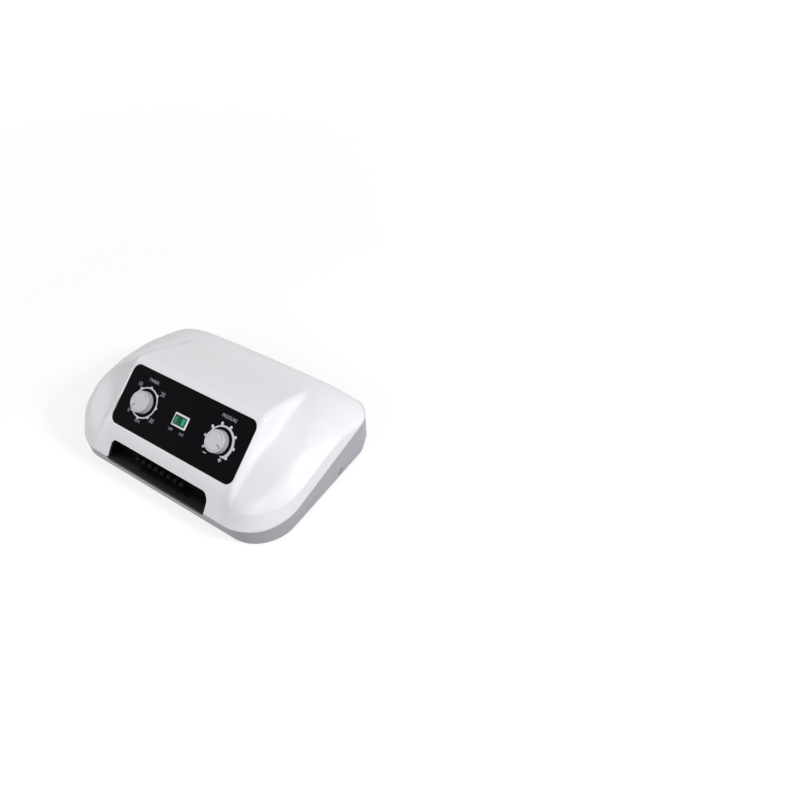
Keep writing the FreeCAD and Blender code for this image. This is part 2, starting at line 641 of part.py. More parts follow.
def regulator_spring():
    """Coil spring between the plunger and the end of the valve's bore."""
    radius = PLUNGER_D / 2 - 1.4
    height = PLUNGER_TOP_N - PLUNGER_L - SPRING_GAP - REGULATOR_END_N - SPRING_WIRE
    pitch = height / SPRING_TURNS
    way = Vector(0, radius, pitch / (2 * math.pi))
    circle = Part.makeCircle(SPRING_WIRE / 2, Vector(radius, 0, 0), way).Curve
    start = Part.Wire([Part.Edge(circle, 0, math.pi), Part.Edge(circle, math.pi, 2 * math.pi)])
    helix = Part.makeHelix(pitch, height, radius)
    coil = Part.Wire(helix.Edges).makePipeShell([start], True, True)
    coil.translate(Vector(0, 0, REGULATOR_END_N + SPRING_WIRE / 2))
    return on_face(coil, KNOB_X, KNOB_V)


def switch_housing():
    """Snap-in switch frame: bezel on the label, hollow body behind it, three tabs."""
    bezel = rounded_plate(BEZEL_L, BEZEL_W, 1.2, 0.0, BEZEL_H)
    rim = [e for e in bezel.Edges if e.BoundBox.ZMin > BEZEL_H - 1e-6]
    bezel = bezel.makeChamfer(0.35, rim)
    body = box(-SWITCH_L / 2, SWITCH_L / 2, -SWITCH_W / 2, SWITCH_W / 2, -SWITCH_DEPTH, 0)
    half_l, half_w = ROCKER_L / 2 + ROCKER_PLAY, ROCKER_W / 2 + ROCKER_SIDE_PLAY
    well = box(-half_l, half_l, -half_w, half_w, -8.0, BEZEL_H + 1)
    tabs = [box(x - 0.4, x + 0.4, -2.4, 2.4, -SWITCH_DEPTH - 7, -SWITCH_DEPTH) for x in (-6, 0, 6)]
    frame = union([bezel, body] + tabs).cut(well)
    pivot_d = ROCKER_PIN_D + 2 * SHAFT_PLAY
    pivot = rod(0, -SWITCH_W / 2 + 0.4, ROCKER_PIVOT_N, pivot_d, SWITCH_W - 0.8, "Y")
    return on_face(frame.cut(pivot), ROCKER_U, ROCKER_V)


def switch_rocker():
    """Lit rocker: shallow V on top, two pivot pins, stored with its right side down."""
    half = ROCKER_L / 2
    outline = [(-half, 0, 2.3), (0, 0, 1.1), (half, 0, 2.3), (half, 0, -1.0), (half - 2.5, 0, -3.6),
               (-half + 2.5, 0, -3.6), (-half, 0, -1.0)]
    key = Part.Face(polygon(outline)).extrude(Vector(0, ROCKER_W, 0))
    key.translate(Vector(0, -ROCKER_W / 2, 0))
    key = key.common(rod(0, -ROCKER_W, ROCKER_PIVOT_N, 2 * ROCKER_END_R, 2 * ROCKER_W, "Y"))
    pins = rod(0, -SWITCH_W / 2 + 0.5, ROCKER_PIVOT_N, ROCKER_PIN_D, SWITCH_W - 1.0, "Y")
    rocker = key.fuse(pins).removeSplitter()
    rocker.rotate(Vector(0, 0, ROCKER_PIVOT_N), Vector(0, 1, 0), ROCKER_TILT)
    return on_face(rocker, ROCKER_U, ROCKER_V)


# ---------------------------------------------------------------- hose outlets
def nozzle_xs():
    first = SLOT_X - NOZZLE_PITCH * (NOZZLE_COUNT - 1) / 2
    return [first + NOZZLE_PITCH * i for i in range(NOZZLE_COUNT)]


def barb_xs():
    first = SLOT_X - NOZZLE_PITCH * (BARB_COUNT - 1)
    return [first + 2 * NOZZLE_PITCH * i for i in range(BARB_COUNT)]


def recess_liner(inside):
    """Black tub behind the slot: back wall pierced for the nozzles."""
    outer = slot_volume(LINER_WALL, FRONT_Y - 5, LINER_BACK_Y + LINER_WALL).common(inside)
    liner = outer.cut(slot_volume(0.0, FRONT_Y - 10, LINER_BACK_Y))
    for x in nozzle_xs():
        liner = liner.cut(rod(x, LINER_BACK_Y - 1, NOZZLE_Z, NOZZLE_ROOT_D + 2 * NOZZLE_PLAY, 10, "Y"))
    return liner


def outlet_manifold():
    """Block behind the recess: eight outlet nozzles in front, four hose barbs behind."""
    front = LINER_BACK_Y + LINER_WALL
    back = front + MANIFOLD_T
    half = NOZZLE_PITCH * NOZZLE_COUNT / 2 + 1
    tip = LINER_BACK_Y - NOZZLE_REACH
    pieces = [box(SLOT_X - half, SLOT_X + half, front, back,
                  NOZZLE_Z - MANIFOLD_H / 2, NOZZLE_Z + MANIFOLD_H / 2)]
    for x in nozzle_xs():
        pieces.append(rod(x, LINER_BACK_Y, NOZZLE_Z, NOZZLE_ROOT_D, LINER_WALL, "Y"))
        pieces.append(rod(x, tip + NOZZLE_TIP, NOZZLE_Z, NOZZLE_D, NOZZLE_REACH - NOZZLE_TIP, "Y"))
        pieces.append(Part.makeCone(NOZZLE_D / 2 - 0.6, NOZZLE_D / 2, NOZZLE_TIP,
                                    Vector(x, tip, NOZZLE_Z), Vector(0, 1, 0)))
    for x in barb_xs():
        pieces.append(rod(x, back, NOZZLE_Z, BARB_D, BARB_L, "Y"))
    manifold = union(pieces)
    middle = (front + back) / 2
    for x in nozzle_xs():
        manifold = manifold.cut(rod(x, tip - 1, NOZZLE_Z, NOZZLE_BORE, middle - tip + 1, "Y"))
    for x in barb_xs():
        manifold = manifold.cut(rod(x, middle, NOZZLE_Z, BARB_BORE, BARB_L + MANIFOLD_T, "Y"))
        reach = NOZZLE_PITCH / 2 + NOZZLE_BORE / 2
        gallery = box(x - reach, x + reach, middle - 2, middle + 2, NOZZLE_Z - 1.5, NOZZLE_Z + 1.5)
        manifold = manifold.cut(gallery)
    return manifold


# ---------------------------------------------------------------- diaphragm pump
def pump_mount_places():
    dx, dy = PUMP_LENGTH / 2 - 10, PUMP_DEPTH / 2 - 10
    return [(PUMP_X + sx * dx, PUMP_Y + sy * dy) for sx in (-1, 1) for sy in (-1, 1)]


def pump_frame():
    """Aluminium U-frame: bed plate and two end walls bored for the diaphragms."""
    y0, y1 = PUMP_Y - PUMP_DEPTH / 2, PUMP_Y + PUMP_DEPTH / 2
    top = PUMP_BED_Z + PUMP_WALL_H
    frame = union([box(PUMP_X0, PUMP_X1, y0, y1, PUMP_BED_Z, PUMP_BED_Z + BED_T),
                   box(PUMP_X0, PUMP_X0 + PUMP_WALL, y0 + 8, y1 - 8, PUMP_BED_Z, top),
                   box(PUMP_X1 - PUMP_WALL, PUMP_X1, y0 + 8, y1 - 8, PUMP_BED_Z, top)])
    frame = frame.cut(rod(PUMP_X0 - 5, PUMP_Y, PUMP_AXIS_Z, DISC_D + 6, PUMP_LENGTH + 10, "X"))
    for x, y in pump_mount_places():
        frame = frame.cut(rod(x, y, 0, MOUNT_HOLE, 40))
    return frame


def pump_mount(x, y):
    """Soft rubber bush that carries one corner of the pump on the base."""
    low = FLOOR_Z + MOUNT_SEAT
    return union([rod(x, y, low, MOUNT_D, PUMP_BED_Z - low),
                  rod(x, y, PUMP_BED_Z, MOUNT_HOLE - 0.1, BED_T),
                  rod(x, y, PUMP_BED_Z + BED_T, MOUNT_HOLE + 3, 1.5)])


def pump_armature():
    """Sliding rod with a clamping disc at each end, level with the diaphragms."""
    mid0, mid1 = PUMP_X0 - DIAPHRAGM_T / 2, PUMP_X1 + DIAPHRAGM_T / 2
    bar = box(mid0, mid1, PUMP_Y - ROD_W / 2, PUMP_Y + ROD_W / 2,
              PUMP_AXIS_Z - ROD_H / 2, PUMP_AXIS_Z + ROD_H / 2)
    discs = [rod(x - DISC_T / 2, PUMP_Y, PUMP_AXIS_Z, DISC_D, DISC_T, "X") for x in (mid0, mid1)]
    return union([bar] + discs)


def magnet_places():
    return [PUMP_X - 20, PUMP_X + 20]


def pump_magnets():
    """Two flat magnets on each side of the rod."""
    magnets = []
    for x in magnet_places():
        for side in (-1, 1):
            y = PUMP_Y + side * (ROD_W / 2 + 1.5)
            magnets.append(box(x - 9, x + 9, y - 1.5, y + 1.5, PUMP_AXIS_Z - 7, PUMP_AXIS_Z + 7))
    return group(magnets)


def coil_face_y(side):
    return PUMP_Y + side * (ROD_W / 2 + 3.0 + COIL_GAP)


def pump_core(side):
    """E-shaped laminated core on one side of the rod."""
    face, back = coil_face_y(side), PUMP_Y + side * (PUMP_DEPTH / 2 - 2)
    y0, y1 = sorted((face, back))
    core = box(PUMP_X - CORE_L / 2, PUMP_X + CORE_L / 2, y0, y1, PUMP_BED_Z + BED_T, PUMP_AXIS_Z + 10)
    w0, w1 = sorted((face, back - side * CORE_YOKE))
    for way in (-1, 1):
        x0, x1 = sorted((PUMP_X + way * CORE_LEG / 2, PUMP_X + way * (CORE_L / 2 - CORE_YOKE)))
        core = core.cut(box(x0, x1, w0, w1, 0, 90))
    return core


def pump_coil(side):
    """Copper winding over the middle leg of one core."""
    back = PUMP_Y + side * (PUMP_DEPTH / 2 - 2 - CORE_YOKE)
    y0, y1 = sorted((coil_face_y(side) + side, back))
    top, half = PUMP_AXIS_Z + 10, CORE_L / 2 - CORE_YOKE - 2
    winding = box(PUMP_X - half, PUMP_X + half, y0, y1, PUMP_BED_Z + BED_T + 2, top + 6)
    leg = CORE_LEG / 2 + CUTOUT_PLAY
    return winding.cut(box(PUMP_X - leg, PUMP_X + leg, y0 - 1, y1 + 1, 0, top + CUTOUT_PLAY))


def pump_diaphragm(side):
    """Rubber ring clamped between one end wall and its head, round the rod's disc."""
    x = PUMP_X1 if side > 0 else PUMP_X0 - DIAPHRAGM_T
    return bolt_holes(tube(x, PUMP_Y, PUMP_AXIS_Z, HEAD_D, DISC_D + 2 * DISC_PLAY, DIAPHRAGM_T, "X"))


def pump_head(side):
    """Cast air head at one end of the pump, hollow, with its chamber towards the rod."""
    x_in = PUMP_X0 - DIAPHRAGM_T if side < 0 else PUMP_X1 + DIAPHRAGM_T
    low = min(x_in, x_in + side * HEAD_L)
    head = rod(low, PUMP_Y, PUMP_AXIS_Z, HEAD_D, HEAD_L, "X")
    chamber0, chamber1 = sorted((x_in - side, x_in + side * CHAMBER_L))
    head = head.cut(rod(chamber0, PUMP_Y, PUMP_AXIS_Z, DISC_D + 6, chamber1 - chamber0, "X"))
    return bolt_holes(head)


def left_head():
    """The left head, with its outlet barb in the end face."""
    face_x = PUMP_X0 - DIAPHRAGM_T - HEAD_L
    barb = rod(face_x - BARB_L, PUMP_Y, HEAD_BARB_Z, BARB_D, BARB_L + 1, "X")
    bore = rod(face_x - BARB_L - 1, PUMP_Y, HEAD_BARB_Z, BARB_BORE, HEAD_L, "X")
    return union([pump_head(-1), barb]).cut(bore)


def right_head():
    """The right head, with its outlet barb to the front."""
    x, face_y = RIGHT_BARB_X, PUMP_Y - HEAD_D / 2
    barb = rod(x, face_y - BARB_L, PUMP_AXIS_Z, BARB_D, BARB_L + 5, "Y")
    bore = rod(x, face_y - BARB_L - 1, PUMP_AXIS_Z, BARB_BORE, BARB_L + 9, "Y")
    return union([pump_head(1), barb]).cut(bore)


def pump_bolts():
    """Screws that hold each head and its diaphragm to the frame."""
    bolts = []
    for side in (-1, 1):
        x_in = PUMP_X0 if side < 0 else PUMP_X1
        for number in range(4):
            angle = math.radians(45 + 90 * number)
            y = PUMP_Y + (HEAD_D / 2 - 3.2) * math.cos(angle)
            z = PUMP_AXIS_Z + (HEAD_D / 2 - 3.2) * math.sin(angle)
            reach = HEAD_L + DIAPHRAGM_T + PUMP_WALL
            x0 = x_in - PUMP_WALL if side > 0 else x_in + PUMP_WALL - reach
            head_x = x0 + reach if side > 0 else x0 - 2.0
            bolts.append(rod(x0, y, z, 2.6, reach, "X").fuse(rod(head_x, y, z, 4.6, 2.0, "X")))
    return group(bolts)


def bolt_holes(shape):
    """Cuts the heads' screw holes through whatever they pass."""
    for number in range(4):
        angle = math.radians(45 + 90 * number)
        y = PUMP_Y + (HEAD_D / 2 - 3.2) * math.cos(angle)
        z = PUMP_AXIS_Z + (HEAD_D / 2 - 3.2) * math.sin(angle)
        shape = shape.cut(rod(PUMP_X0 - 40, y, z, 2.7, PUMP_LENGTH + 80, "X"))
    return shape


# ---------------------------------------------------------------- rotary distributor
def distributor_body():
    """Valve block with the rotor's round pocket and four outlets to the front."""
    half = VALVE_SIZE / 2
    pieces = [box(VALVE_X - half, VALVE_X + half, VALVE_Y - half, VALVE_Y + half, VALVE_Z, VALVE_TOP)]
    for x, z in distributor_outlets():
        pieces.append(rod(x, VALVE_Y - half - BARB_L, z, BARB_D, BARB_L + 1, "Y"))
    body = union(pieces)
    pocket_z = VALVE_TOP - ROTOR_H - 2 * ROTOR_PLAY
    body = body.cut(rod(VALVE_X, VALVE_Y, pocket_z, ROTOR_D + 0.8, ROTOR_H + 5))
    body = body.cut(rod(VALVE_X, VALVE_Y, VALVE_Z - 1, ROTOR_SHAFT_D + 2 * SHAFT_PLAY, VALVE_H))
    for x, z in distributor_outlets():
        body = body.cut(rod(x, VALVE_Y - half - BARB_L - 1, z, BARB_BORE, BARB_L + 7, "Y"))
    return body


def distributor_outlets():
    """x and z of the four outlets on the block's front face."""
    first = VALVE_X - OUTLET_PITCH * (BARB_COUNT - 1) / 2
    return [(first + OUTLET_PITCH * i, VALVE_Z + 5.0) for i in range(BARB_COUNT)]


def distributor_rotor():
    """Slotted disc and its shaft, turned slowly by the motor below."""
    low = VALVE_TOP - ROTOR_H - ROTOR_PLAY
    disc = rod(VALVE_X, VALVE_Y, low, ROTOR_D, ROTOR_H)
    disc = disc.cut(box(VALVE_X + 5, VALVE_X + 12, VALVE_Y - 2.5, VALVE_Y + 2.5, 0, 90))
    shaft_low = VALVE_Z - ROTOR_SHAFT_IN
    return union([disc, rod(VALVE_X, VALVE_Y, shaft_low, ROTOR_SHAFT_D, low - shaft_low + 1)])


def distributor_lid():
    """Cover plate over the rotor, with the inlet barb in its middle."""
    half = VALVE_SIZE / 2
    lid = box(VALVE_X - half, VALVE_X + half, VALVE_Y - half, VALVE_Y + half,
              VALVE_TOP, VALVE_TOP + VALVE_LID)
    lid = union([lid, rod(VALVE_X, VALVE_Y, VALVE_TOP + 1, BARB_D, VALVE_LID + BARB_L - 1)])
    return lid.cut(rod(VALVE_X, VALVE_Y, VALVE_TOP - 1, BARB_BORE, VALVE_LID + BARB_L + 2))


def distributor_motor():
    """Flat synchronous gear motor with a socket for the rotor's shaft."""
    low = FLOOR_Z + MOTOR_POST_H
    can = rod(VALVE_X, VALVE_Y, low, VALVE_MOTOR_D, VALVE_Z - low)
    socket = rod(VALVE_X, VALVE_Y, VALVE_Z - ROTOR_SHAFT_IN - 1, ROTOR_SHAFT_D + 2 * SHAFT_PLAY, 20)
    reach = VALVE_MOTOR_D / 2 + 8
    ears = box(VALVE_X - reach, VALVE_X + reach, VALVE_Y - 4, VALVE_Y + 4, low, low + 2)
    return union([can, ears]).cut(socket)


def distributor_posts():
    """Plastic posts that carry the motor and the valve block on the base's floor."""
    posts = []
    for sx in (-1, 1):
        x = VALVE_X + sx * (VALVE_MOTOR_D / 2 + 4)
        posts.append(rod(x, VALVE_Y, FLOOR_Z, POST_D, MOTOR_POST_H))
        for sy in (-1, 1):
            x = VALVE_X + sx * (VALVE_SIZE - POST_D) / 2
            y = VALVE_Y + sy * (VALVE_SIZE - POST_D) / 2
            posts.append(rod(x, y, FLOOR_Z, POST_D, VALVE_Z - FLOOR_Z))
    return group(posts)


# ---------------------------------------------------------------- air tubes
def bent_tube(points):
    """Round tube along straight runs joined by tangent arcs of one radius."""
    corners = [Vector(*p) for p in points]
    edges, start = [], corners[0]
    for before, corner, after in zip(corners, corners[1:], corners[2:]):
        arc = round_corner(before, corner, after, TUBE_BEND)
        edges += [Part.makeLine(start, arc.Vertexes[0].Point), arc]
        start = arc.Vertexes[1].Point
    edges.append(Part.makeLine(start, corners[-1]))
    path = Part.Wire(edges)
    way = corners[1] - corners[0]
    outer = Part.Wire(Part.makeCircle(TUBE_D / 2, corners[0], way))
    inner = Part.Wire(Part.makeCircle(TUBE_D / 2 - TUBE_WALL, corners[0], way))
    return path.makePipeShell([outer], True, False).cut(path.makePipeShell([inner], True, False))


def outlet_tubes():
    """Four hoses from the distributor to the manifold behind the recess."""
    end = LINER_BACK_Y + LINER_WALL + MANIFOLD_T + TUBE_END_GAP
    start = VALVE_Y - VALVE_SIZE / 2 - TUBE_END_GAP
    tubes = []
    for i, ((x0, z0), x1) in enumerate(zip(distributor_outlets(), barb_xs())):
        first_turn = start - 30 + TUBE_STAGGER * TUBE_D * i
        last_turn = end + 14 + TUBE_STAGGER * TUBE_D * i
        tubes.append(bent_tube([(x0, start, z0), (x0, first_turn, z0), (x1, last_turn, NOZZLE_Z),
                                (x1, end, NOZZLE_Z)]))
    return group(tubes)


def pressure_tube():
    """Hose from the pump's left head over to the distributor's inlet."""
    start_x = PUMP_X0 - DIAPHRAGM_T - HEAD_L - TUBE_END_GAP
    low, high = VALVE_TOP + VALVE_LID + TUBE_END_GAP, VALVE_TOP + VALVE_LID + BARB_L + TUBE_BEND
    return bent_tube([(start_x, PUMP_Y, HEAD_BARB_Z), (start_x - 14, PUMP_Y, HEAD_BARB_Z),
                      (start_x - 34, PUMP_Y, high), (VALVE_X, VALVE_Y, high), (VALVE_X, VALVE_Y, low)])


def bleed_tube():
    """Hose from the pump's right head to the pressure regulator."""
    port_y, port_z = face_point(KNOB_V, REGULATOR_PORT_N)
    start_y = PUMP_Y - HEAD_D / 2 - TUBE_END_GAP
    port_x = KNOB_X + REGULATOR_D / 2 + TUBE_END_GAP
    return bent_tube([(RIGHT_BARB_X, start_y, PUMP_AXIS_Z), (RIGHT_BARB_X, start_y - 15, PUMP_AXIS_Z),
                      (RIGHT_BARB_X - 10, port_y, port_z), (port_x, port_y, port_z)])


# ---------------------------------------------------------------- electrics
def board_post_places():
    length, width, _ = BOARD
    return [(BOARD_X + sx * (length / 2 - 4), BOARD_Y + sy * (width / 2 - 4))
            for sx in (-1, 1) for sy in (-1, 1)]


def circuit_board():
    length, width, thick = BOARD
    board = box(BOARD_X - length / 2, BOARD_X + length / 2, BOARD_Y - width / 2, BOARD_Y + width / 2,
                BOARD_Z, BOARD_Z + thick)
    for x, y in board_post_places():
        board = board.cut(rod(x, y, 0, 3.0, 40))
    return board


def board_parts():
    """Terminal block, relay, capacitor and fuse-sized film part on the board."""
    top = BOARD_Z + BOARD[2]
    terminal = box(BOARD_X - 26, BOARD_X - 18, BOARD_Y - 12, BOARD_Y + 12, top, top + 9)
    relay = box(BOARD_X - 12, BOARD_X + 3, BOARD_Y - 8, BOARD_Y + 8, top, top + 12)
    capacitor = rod(BOARD_X + 14, BOARD_Y + 6, top, 11.0, 14)
    film = box(BOARD_X + 8, BOARD_X + 22, BOARD_Y - 13, BOARD_Y - 6, top, top + 8)
    return group([terminal, relay, capacitor, film])


def board_screws():
    screws = []
    for x, y in board_post_places():
        top = BOARD_Z + BOARD[2]
        shank = rod(x, y, BOARD_Z - 6, BOARD_SCREW_D, 6 + BOARD[2])
        screws.append(rod(x, y, top, 5.0, 1.8).fuse(shank))
    return group(screws)


def inlet_block(grow, y0, y1):
    """Rectangle of the appliance inlet, grown or shrunk, between two depths."""
    half_w, half_h = INLET_W / 2 + grow, INLET_H / 2 + grow
    return box(INLET_X - half_w, INLET_X + half_w, y0, y1, INLET_Z - half_h, INLET_Z + half_h)


def mains_inlet():
    """Appliance inlet in the back wall: flange inside, shrouded socket, closed back."""
    flange = inlet_block(2.0, REAR_Y - WALL - 2, REAR_Y - WALL)
    shroud = inlet_block(0.0, REAR_Y - INLET_DEPTH, REAR_Y)
    return union([flange, shroud]).cut(inlet_block(-INLET_SKIN, REAR_Y - INLET_DEPTH + 3, REAR_Y + 2))


def inlet_pins():
    """Three flat blades, standing on the inlet's closed back."""
    pins = []
    for dx, dz in ((-7, -2), (0, 3), (7, -2)):
        pins.append(box(INLET_X + dx - 1, INLET_X + dx + 1, REAR_Y - INLET_DEPTH + 3, REAR_Y - PIN_SINK,
                        INLET_Z + dz - 2, INLET_Z + dz + 2))
    return group(pins)


def fuse_holder():
    """Panel fuse holder: threaded barrel through the back wall, with its nut inside."""
    barrel = tube(FUSE_X, REAR_Y - 30, INLET_Z, FUSE_D, 6.4, 29.0, "Y")
    closed = rod(FUSE_X, REAR_Y - 30, INLET_Z, FUSE_D, 2.0, "Y")
    nut = tube(FUSE_X, REAR_Y - WALL - 3, INLET_Z, FUSE_D + 6, FUSE_D, 3.0, "Y")
    return union([barrel, closed, nut])


def fuse_cap():
    """Screw cap of the fuse holder, flush with the back."""
    cap = rod(FUSE_X, REAR_Y - 8, INLET_Z, 6.2, 7.0, "Y")
    head = rod(FUSE_X, REAR_Y - 1.0, INLET_Z, FUSE_D - 1, 1.0, "Y")
    slit = box(FUSE_X - 4, FUSE_X + 4, REAR_Y - 0.7, REAR_Y + 1, INLET_Z - 0.6, INLET_Z + 0.6)
    return cap.fuse(head).cut(slit)


# ---------------------------------------------------------------- everything
def numbered(name, shapes):
    """Node names with a running number, for pieces that come in sets."""
    return {"%s_%d" % (name, i + 1): shape for i, shape in enumerate(shapes)}


def casing_nodes():
    outside = upper_volume(0.0, 0.0)
    inside = upper_volume(WALL, LABEL_SINK - WEB_N)
    over_seam = above_seam()
    nodes = {"top_shell": top_shell(outside, inside, over_seam), "base_tray": base_tray(over_seam),
             "recess_liner": recess_liner(inside), "outlet_manifold": outlet_manifold()}
    nodes.update(numbered("rubber_foot", [rubber_foot(x, y) for x, y in foot_places()]))
    nodes.update(numbered("case_screw", [case_screw(x, y) for x, y in boss_places()]))
    return nodes


def control_nodes():
    nodes = {
        "control_label": control_label(),
        "timer_knob": knob(-KNOB_X, TIMER_REST),
        "timer_shaft": knob_shaft(-KNOB_X, TIMER_SHAFT_IN),
        "timer_body": timer_body(),
        "pressure_knob": knob(KNOB_X, PRESSURE_REST),
        "pressure_spindle": knob_shaft(KNOB_X, SPINDLE_IN),
        "regulator_body": regulator_body(),
        "regulator_plunger": regulator_plunger(),
        "regulator_spring": regulator_spring(),
        "switch_housing": switch_housing(),
        "switch_rocker": switch_rocker(),
    }
    nodes.update(numbered("panel_nut", [panel_nut(-KNOB_X), panel_nut(KNOB_X)]))
    return nodes


def pump_nodes():
    nodes = {
        "pump_frame": bolt_holes(pump_frame()),
        "pump_armature": pump_armature(),
        "pump_magnets": pump_magnets(),
        "pump_head_left": left_head(),
        "pump_head_right": right_head(),
        "pump_bolts": pump_bolts(),
    }
    nodes.update(numbered("pump_mount", [pump_mount(x, y) for x, y in pump_mount_places()]))
    nodes.update(numbered("pump_core", [pump_core(side) for side in (-1, 1)]))
    nodes.update(numbered("pump_coil", [pump_coil(side) for side in (-1, 1)]))
    nodes.update(numbered("pump_diaphragm", [pump_diaphragm(side) for side in (-1, 1)]))
    return nodes


def air_nodes():
    return {
        "distributor_body": distributor_body(),
        "distributor_rotor": distributor_rotor(),
        "distributor_lid": distributor_lid(),
        "distributor_motor": distributor_motor(),
        "distributor_posts": distributor_posts(),
        "outlet_tubes": outlet_tubes(),
        "pressure_tube": pressure_tube(),
        "bleed_tube": bleed_tube(),
    }


def electric_nodes():
    return {
        "circuit_board": circuit_board(),
        "board_parts": board_parts(),
        "board_screws": board_screws(),
        "mains_inlet": mains_inlet(),
        "inlet_pins": inlet_pins(),
        "fuse_holder": fuse_holder(),
        "fuse_cap": fuse_cap(),
    }


os.makedirs("parts", exist_ok=True)
for build in (casing_nodes, control_nodes, pump_nodes, air_nodes, electric_nodes):
    for name, shape in build().items():
        print(name, "solids", len(shape.Solids), "volume %.0f" % shape.Volume, "valid", shape.isValid())
        shape.exportStep("parts/%s.step" % name)
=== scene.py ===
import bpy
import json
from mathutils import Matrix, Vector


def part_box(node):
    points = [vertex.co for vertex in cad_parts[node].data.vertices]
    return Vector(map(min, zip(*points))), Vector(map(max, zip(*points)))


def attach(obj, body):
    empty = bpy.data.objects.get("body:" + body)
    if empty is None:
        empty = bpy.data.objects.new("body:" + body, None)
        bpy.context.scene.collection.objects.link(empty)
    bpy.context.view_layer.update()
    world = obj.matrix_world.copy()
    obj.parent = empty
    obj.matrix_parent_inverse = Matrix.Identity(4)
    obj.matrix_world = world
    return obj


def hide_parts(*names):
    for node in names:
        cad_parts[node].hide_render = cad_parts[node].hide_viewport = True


bl_info = {
    "name": "Compression Therapy Pump",
    "version": (1, 0, 0),
    "blender": (4, 5, 0),
    "location": "3D View > Sidebar > Pump",
    "description": "Dresses the packed frame of a table-top compression therapy pump",
    "category": "Object",
}

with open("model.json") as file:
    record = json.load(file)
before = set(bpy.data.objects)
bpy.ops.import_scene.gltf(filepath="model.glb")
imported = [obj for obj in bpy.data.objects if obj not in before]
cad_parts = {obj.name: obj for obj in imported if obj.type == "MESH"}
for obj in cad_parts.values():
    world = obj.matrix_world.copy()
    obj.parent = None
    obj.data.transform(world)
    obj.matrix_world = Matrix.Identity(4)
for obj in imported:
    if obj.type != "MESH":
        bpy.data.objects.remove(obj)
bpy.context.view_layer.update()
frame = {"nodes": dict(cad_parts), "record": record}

import json

import bpy
import numpy as np
from bpy.props import FloatProperty, FloatVectorProperty, IntProperty, PointerProperty
from mathutils import Matrix

MM = 0.001

# Sizes shared by the pieces, in millimetres. X runs left to right, Y from the front to the
# back, Z up from the table. An x or a half width counts from the middle of the casing.
COVER = np.array(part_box("top_shell")) / MM
HALF_WIDTH, REAR_Y, FRONT_Y = float(COVER[1, 0]), float(COVER[1, 1]), float(COVER[0, 1])
WALL = 2.5
SEAM_FRONT_Z = 21.5
SEAM_LEVEL = 15.0  # the seam is level this far from the front, then rises
SEAM_RISE = 0.18  # by this much per mm

# Upper cover: its walls, its shoulders and the ridge that carries the control face
CORNER_FRONT, CORNER_REAR = 57.0, 30.0  # plan radii at the seam
CORNER_REAR_GAIN = 2.76  # growth of the rear radius per mm over the seam
TUCK_OVER, TUCK = (0, 17, 28, 40, 60), (0, 0, 7.0, 17.4, 34.7)  # how far the sides turn in
FRONT_LEAN = 0.884  # the front wall leans back this much per mm over the rising seam
FRONT_LEAN_PLUMB = FRONT_LEAN / (1 + FRONT_LEAN * SEAM_RISE)  # and this much per mm upwards
LEAN_LOSS, LEAN_FROM, LEAN_TO = 0.39, 88.0, 132.0  # share of the lean lost between these x
SHOULDER_TOP_Y, SHOULDER_TOP_Z, SHOULDER_RADIUS = 21.2, 81.9, 333.0
SHOULDER_DROP, SHOULDER_DROP_X = 7.6, 146.0  # the shoulders are this much lower at this x
SHOULDER_BEND = 21.0  # radius of their bend at the front
RIDGE_ARC_Y, RIDGE_ARC_Z, RIDGE_ARC_RADIUS = -64.25, -170.48, 278.0
RIDGE_FOOT, RIDGE_CREST, RIDGE_TIP = (-79.5, 49.0, 102.8), (-11.4, 102.5, 99.5), (65.0, 79.0, 92.4)
FLANK_LEAN = 0.25  # the flanks lean out this much per mm downwards
EDGE_GAIN, EDGE_GAIN_Y = 3.0, 60.0  # the side edge's radius grows this much, from y = 0 to here
REAR_EDGE, REAR_EDGE_Y = 16.5, (40.0, 80.0)  # the rear edge's radius and where it comes in

# Hose recess: its opening in the cover, and its black lip over the tray's front edge. The
# opening is a little wider and lower than the frame's.
SLOT_LEFT, SLOT_RIGHT, SLOT_TOP_Z, SLOT_CORNER = -82.3, 73.0, 40.3, 10.0
LIP_LOW_Z, LIP_CORNER, LIP_INSET, LIP_PROUD = 17.2, 4.4, 0.6, 0.25

# Control face: a tilted plane with its own axes, u to the right, v up the face, n out of it
FACE_TILT = np.radians(38.13)
FACE_COS, FACE_SIN = np.cos(FACE_TILT), np.sin(FACE_TILT)
FACE_Y, FACE_Z = -44.5, 74.5
LABEL_HALF_U, LABEL_HALF_V, LABEL_CORNER, LABEL_THICK = 95.0, 36.8, 10.0, 1.0
LABEL_SINK = 1.6  # the label lies this far below the border around it
PLAY = 0.15  # gap between the label and its pocket
POCKET_U, POCKET_V = LABEL_HALF_U + PLAY, LABEL_HALF_V + PLAY
BORDER = 6.5
RIM_ROUND = 0.45  # radius along the pocket's upper edge
DIAL_U, DIAL_V = 58.2, -0.9
KNOB_FOOT_N, KNOB_TOP_N, RIB_DEPTH = 0.6, 9.0, 0.9
KEY_U, KEY_V, KEY_PIVOT_N, KEY_TILT = -0.3, -0.5, -2.0, np.radians(9.0)
PRINT_N = 0.06  # the print stands this far over the label

# Points of the cover's mesh: rows from its outer edge up to the label's border, and columns
# along each stretch of its outer edge
SKIN_ROWS = 100
JAMB_COLUMNS, ARC_COLUMNS, SLOT_COLUMNS = 10, 14, 70
CORNER_COLUMNS, SIDE_COLUMNS, REAR_CORNER_COLUMNS, REAR_COLUMNS = 50, 60, 96, 84


# ---------------- settings
def linear(hex_colour):
    """sRGB hex to linear red, green, blue and a full alpha."""
    srgb = np.array([int(hex_colour[i:i + 2], 16) for i in (0, 2, 4)]) / 255.0
    value = np.where(srgb <= 0.04045, srgb / 12.92, ((srgb + 0.055) / 1.055) ** 2.4)
    return tuple(float(v) for v in value) + (1.0,)


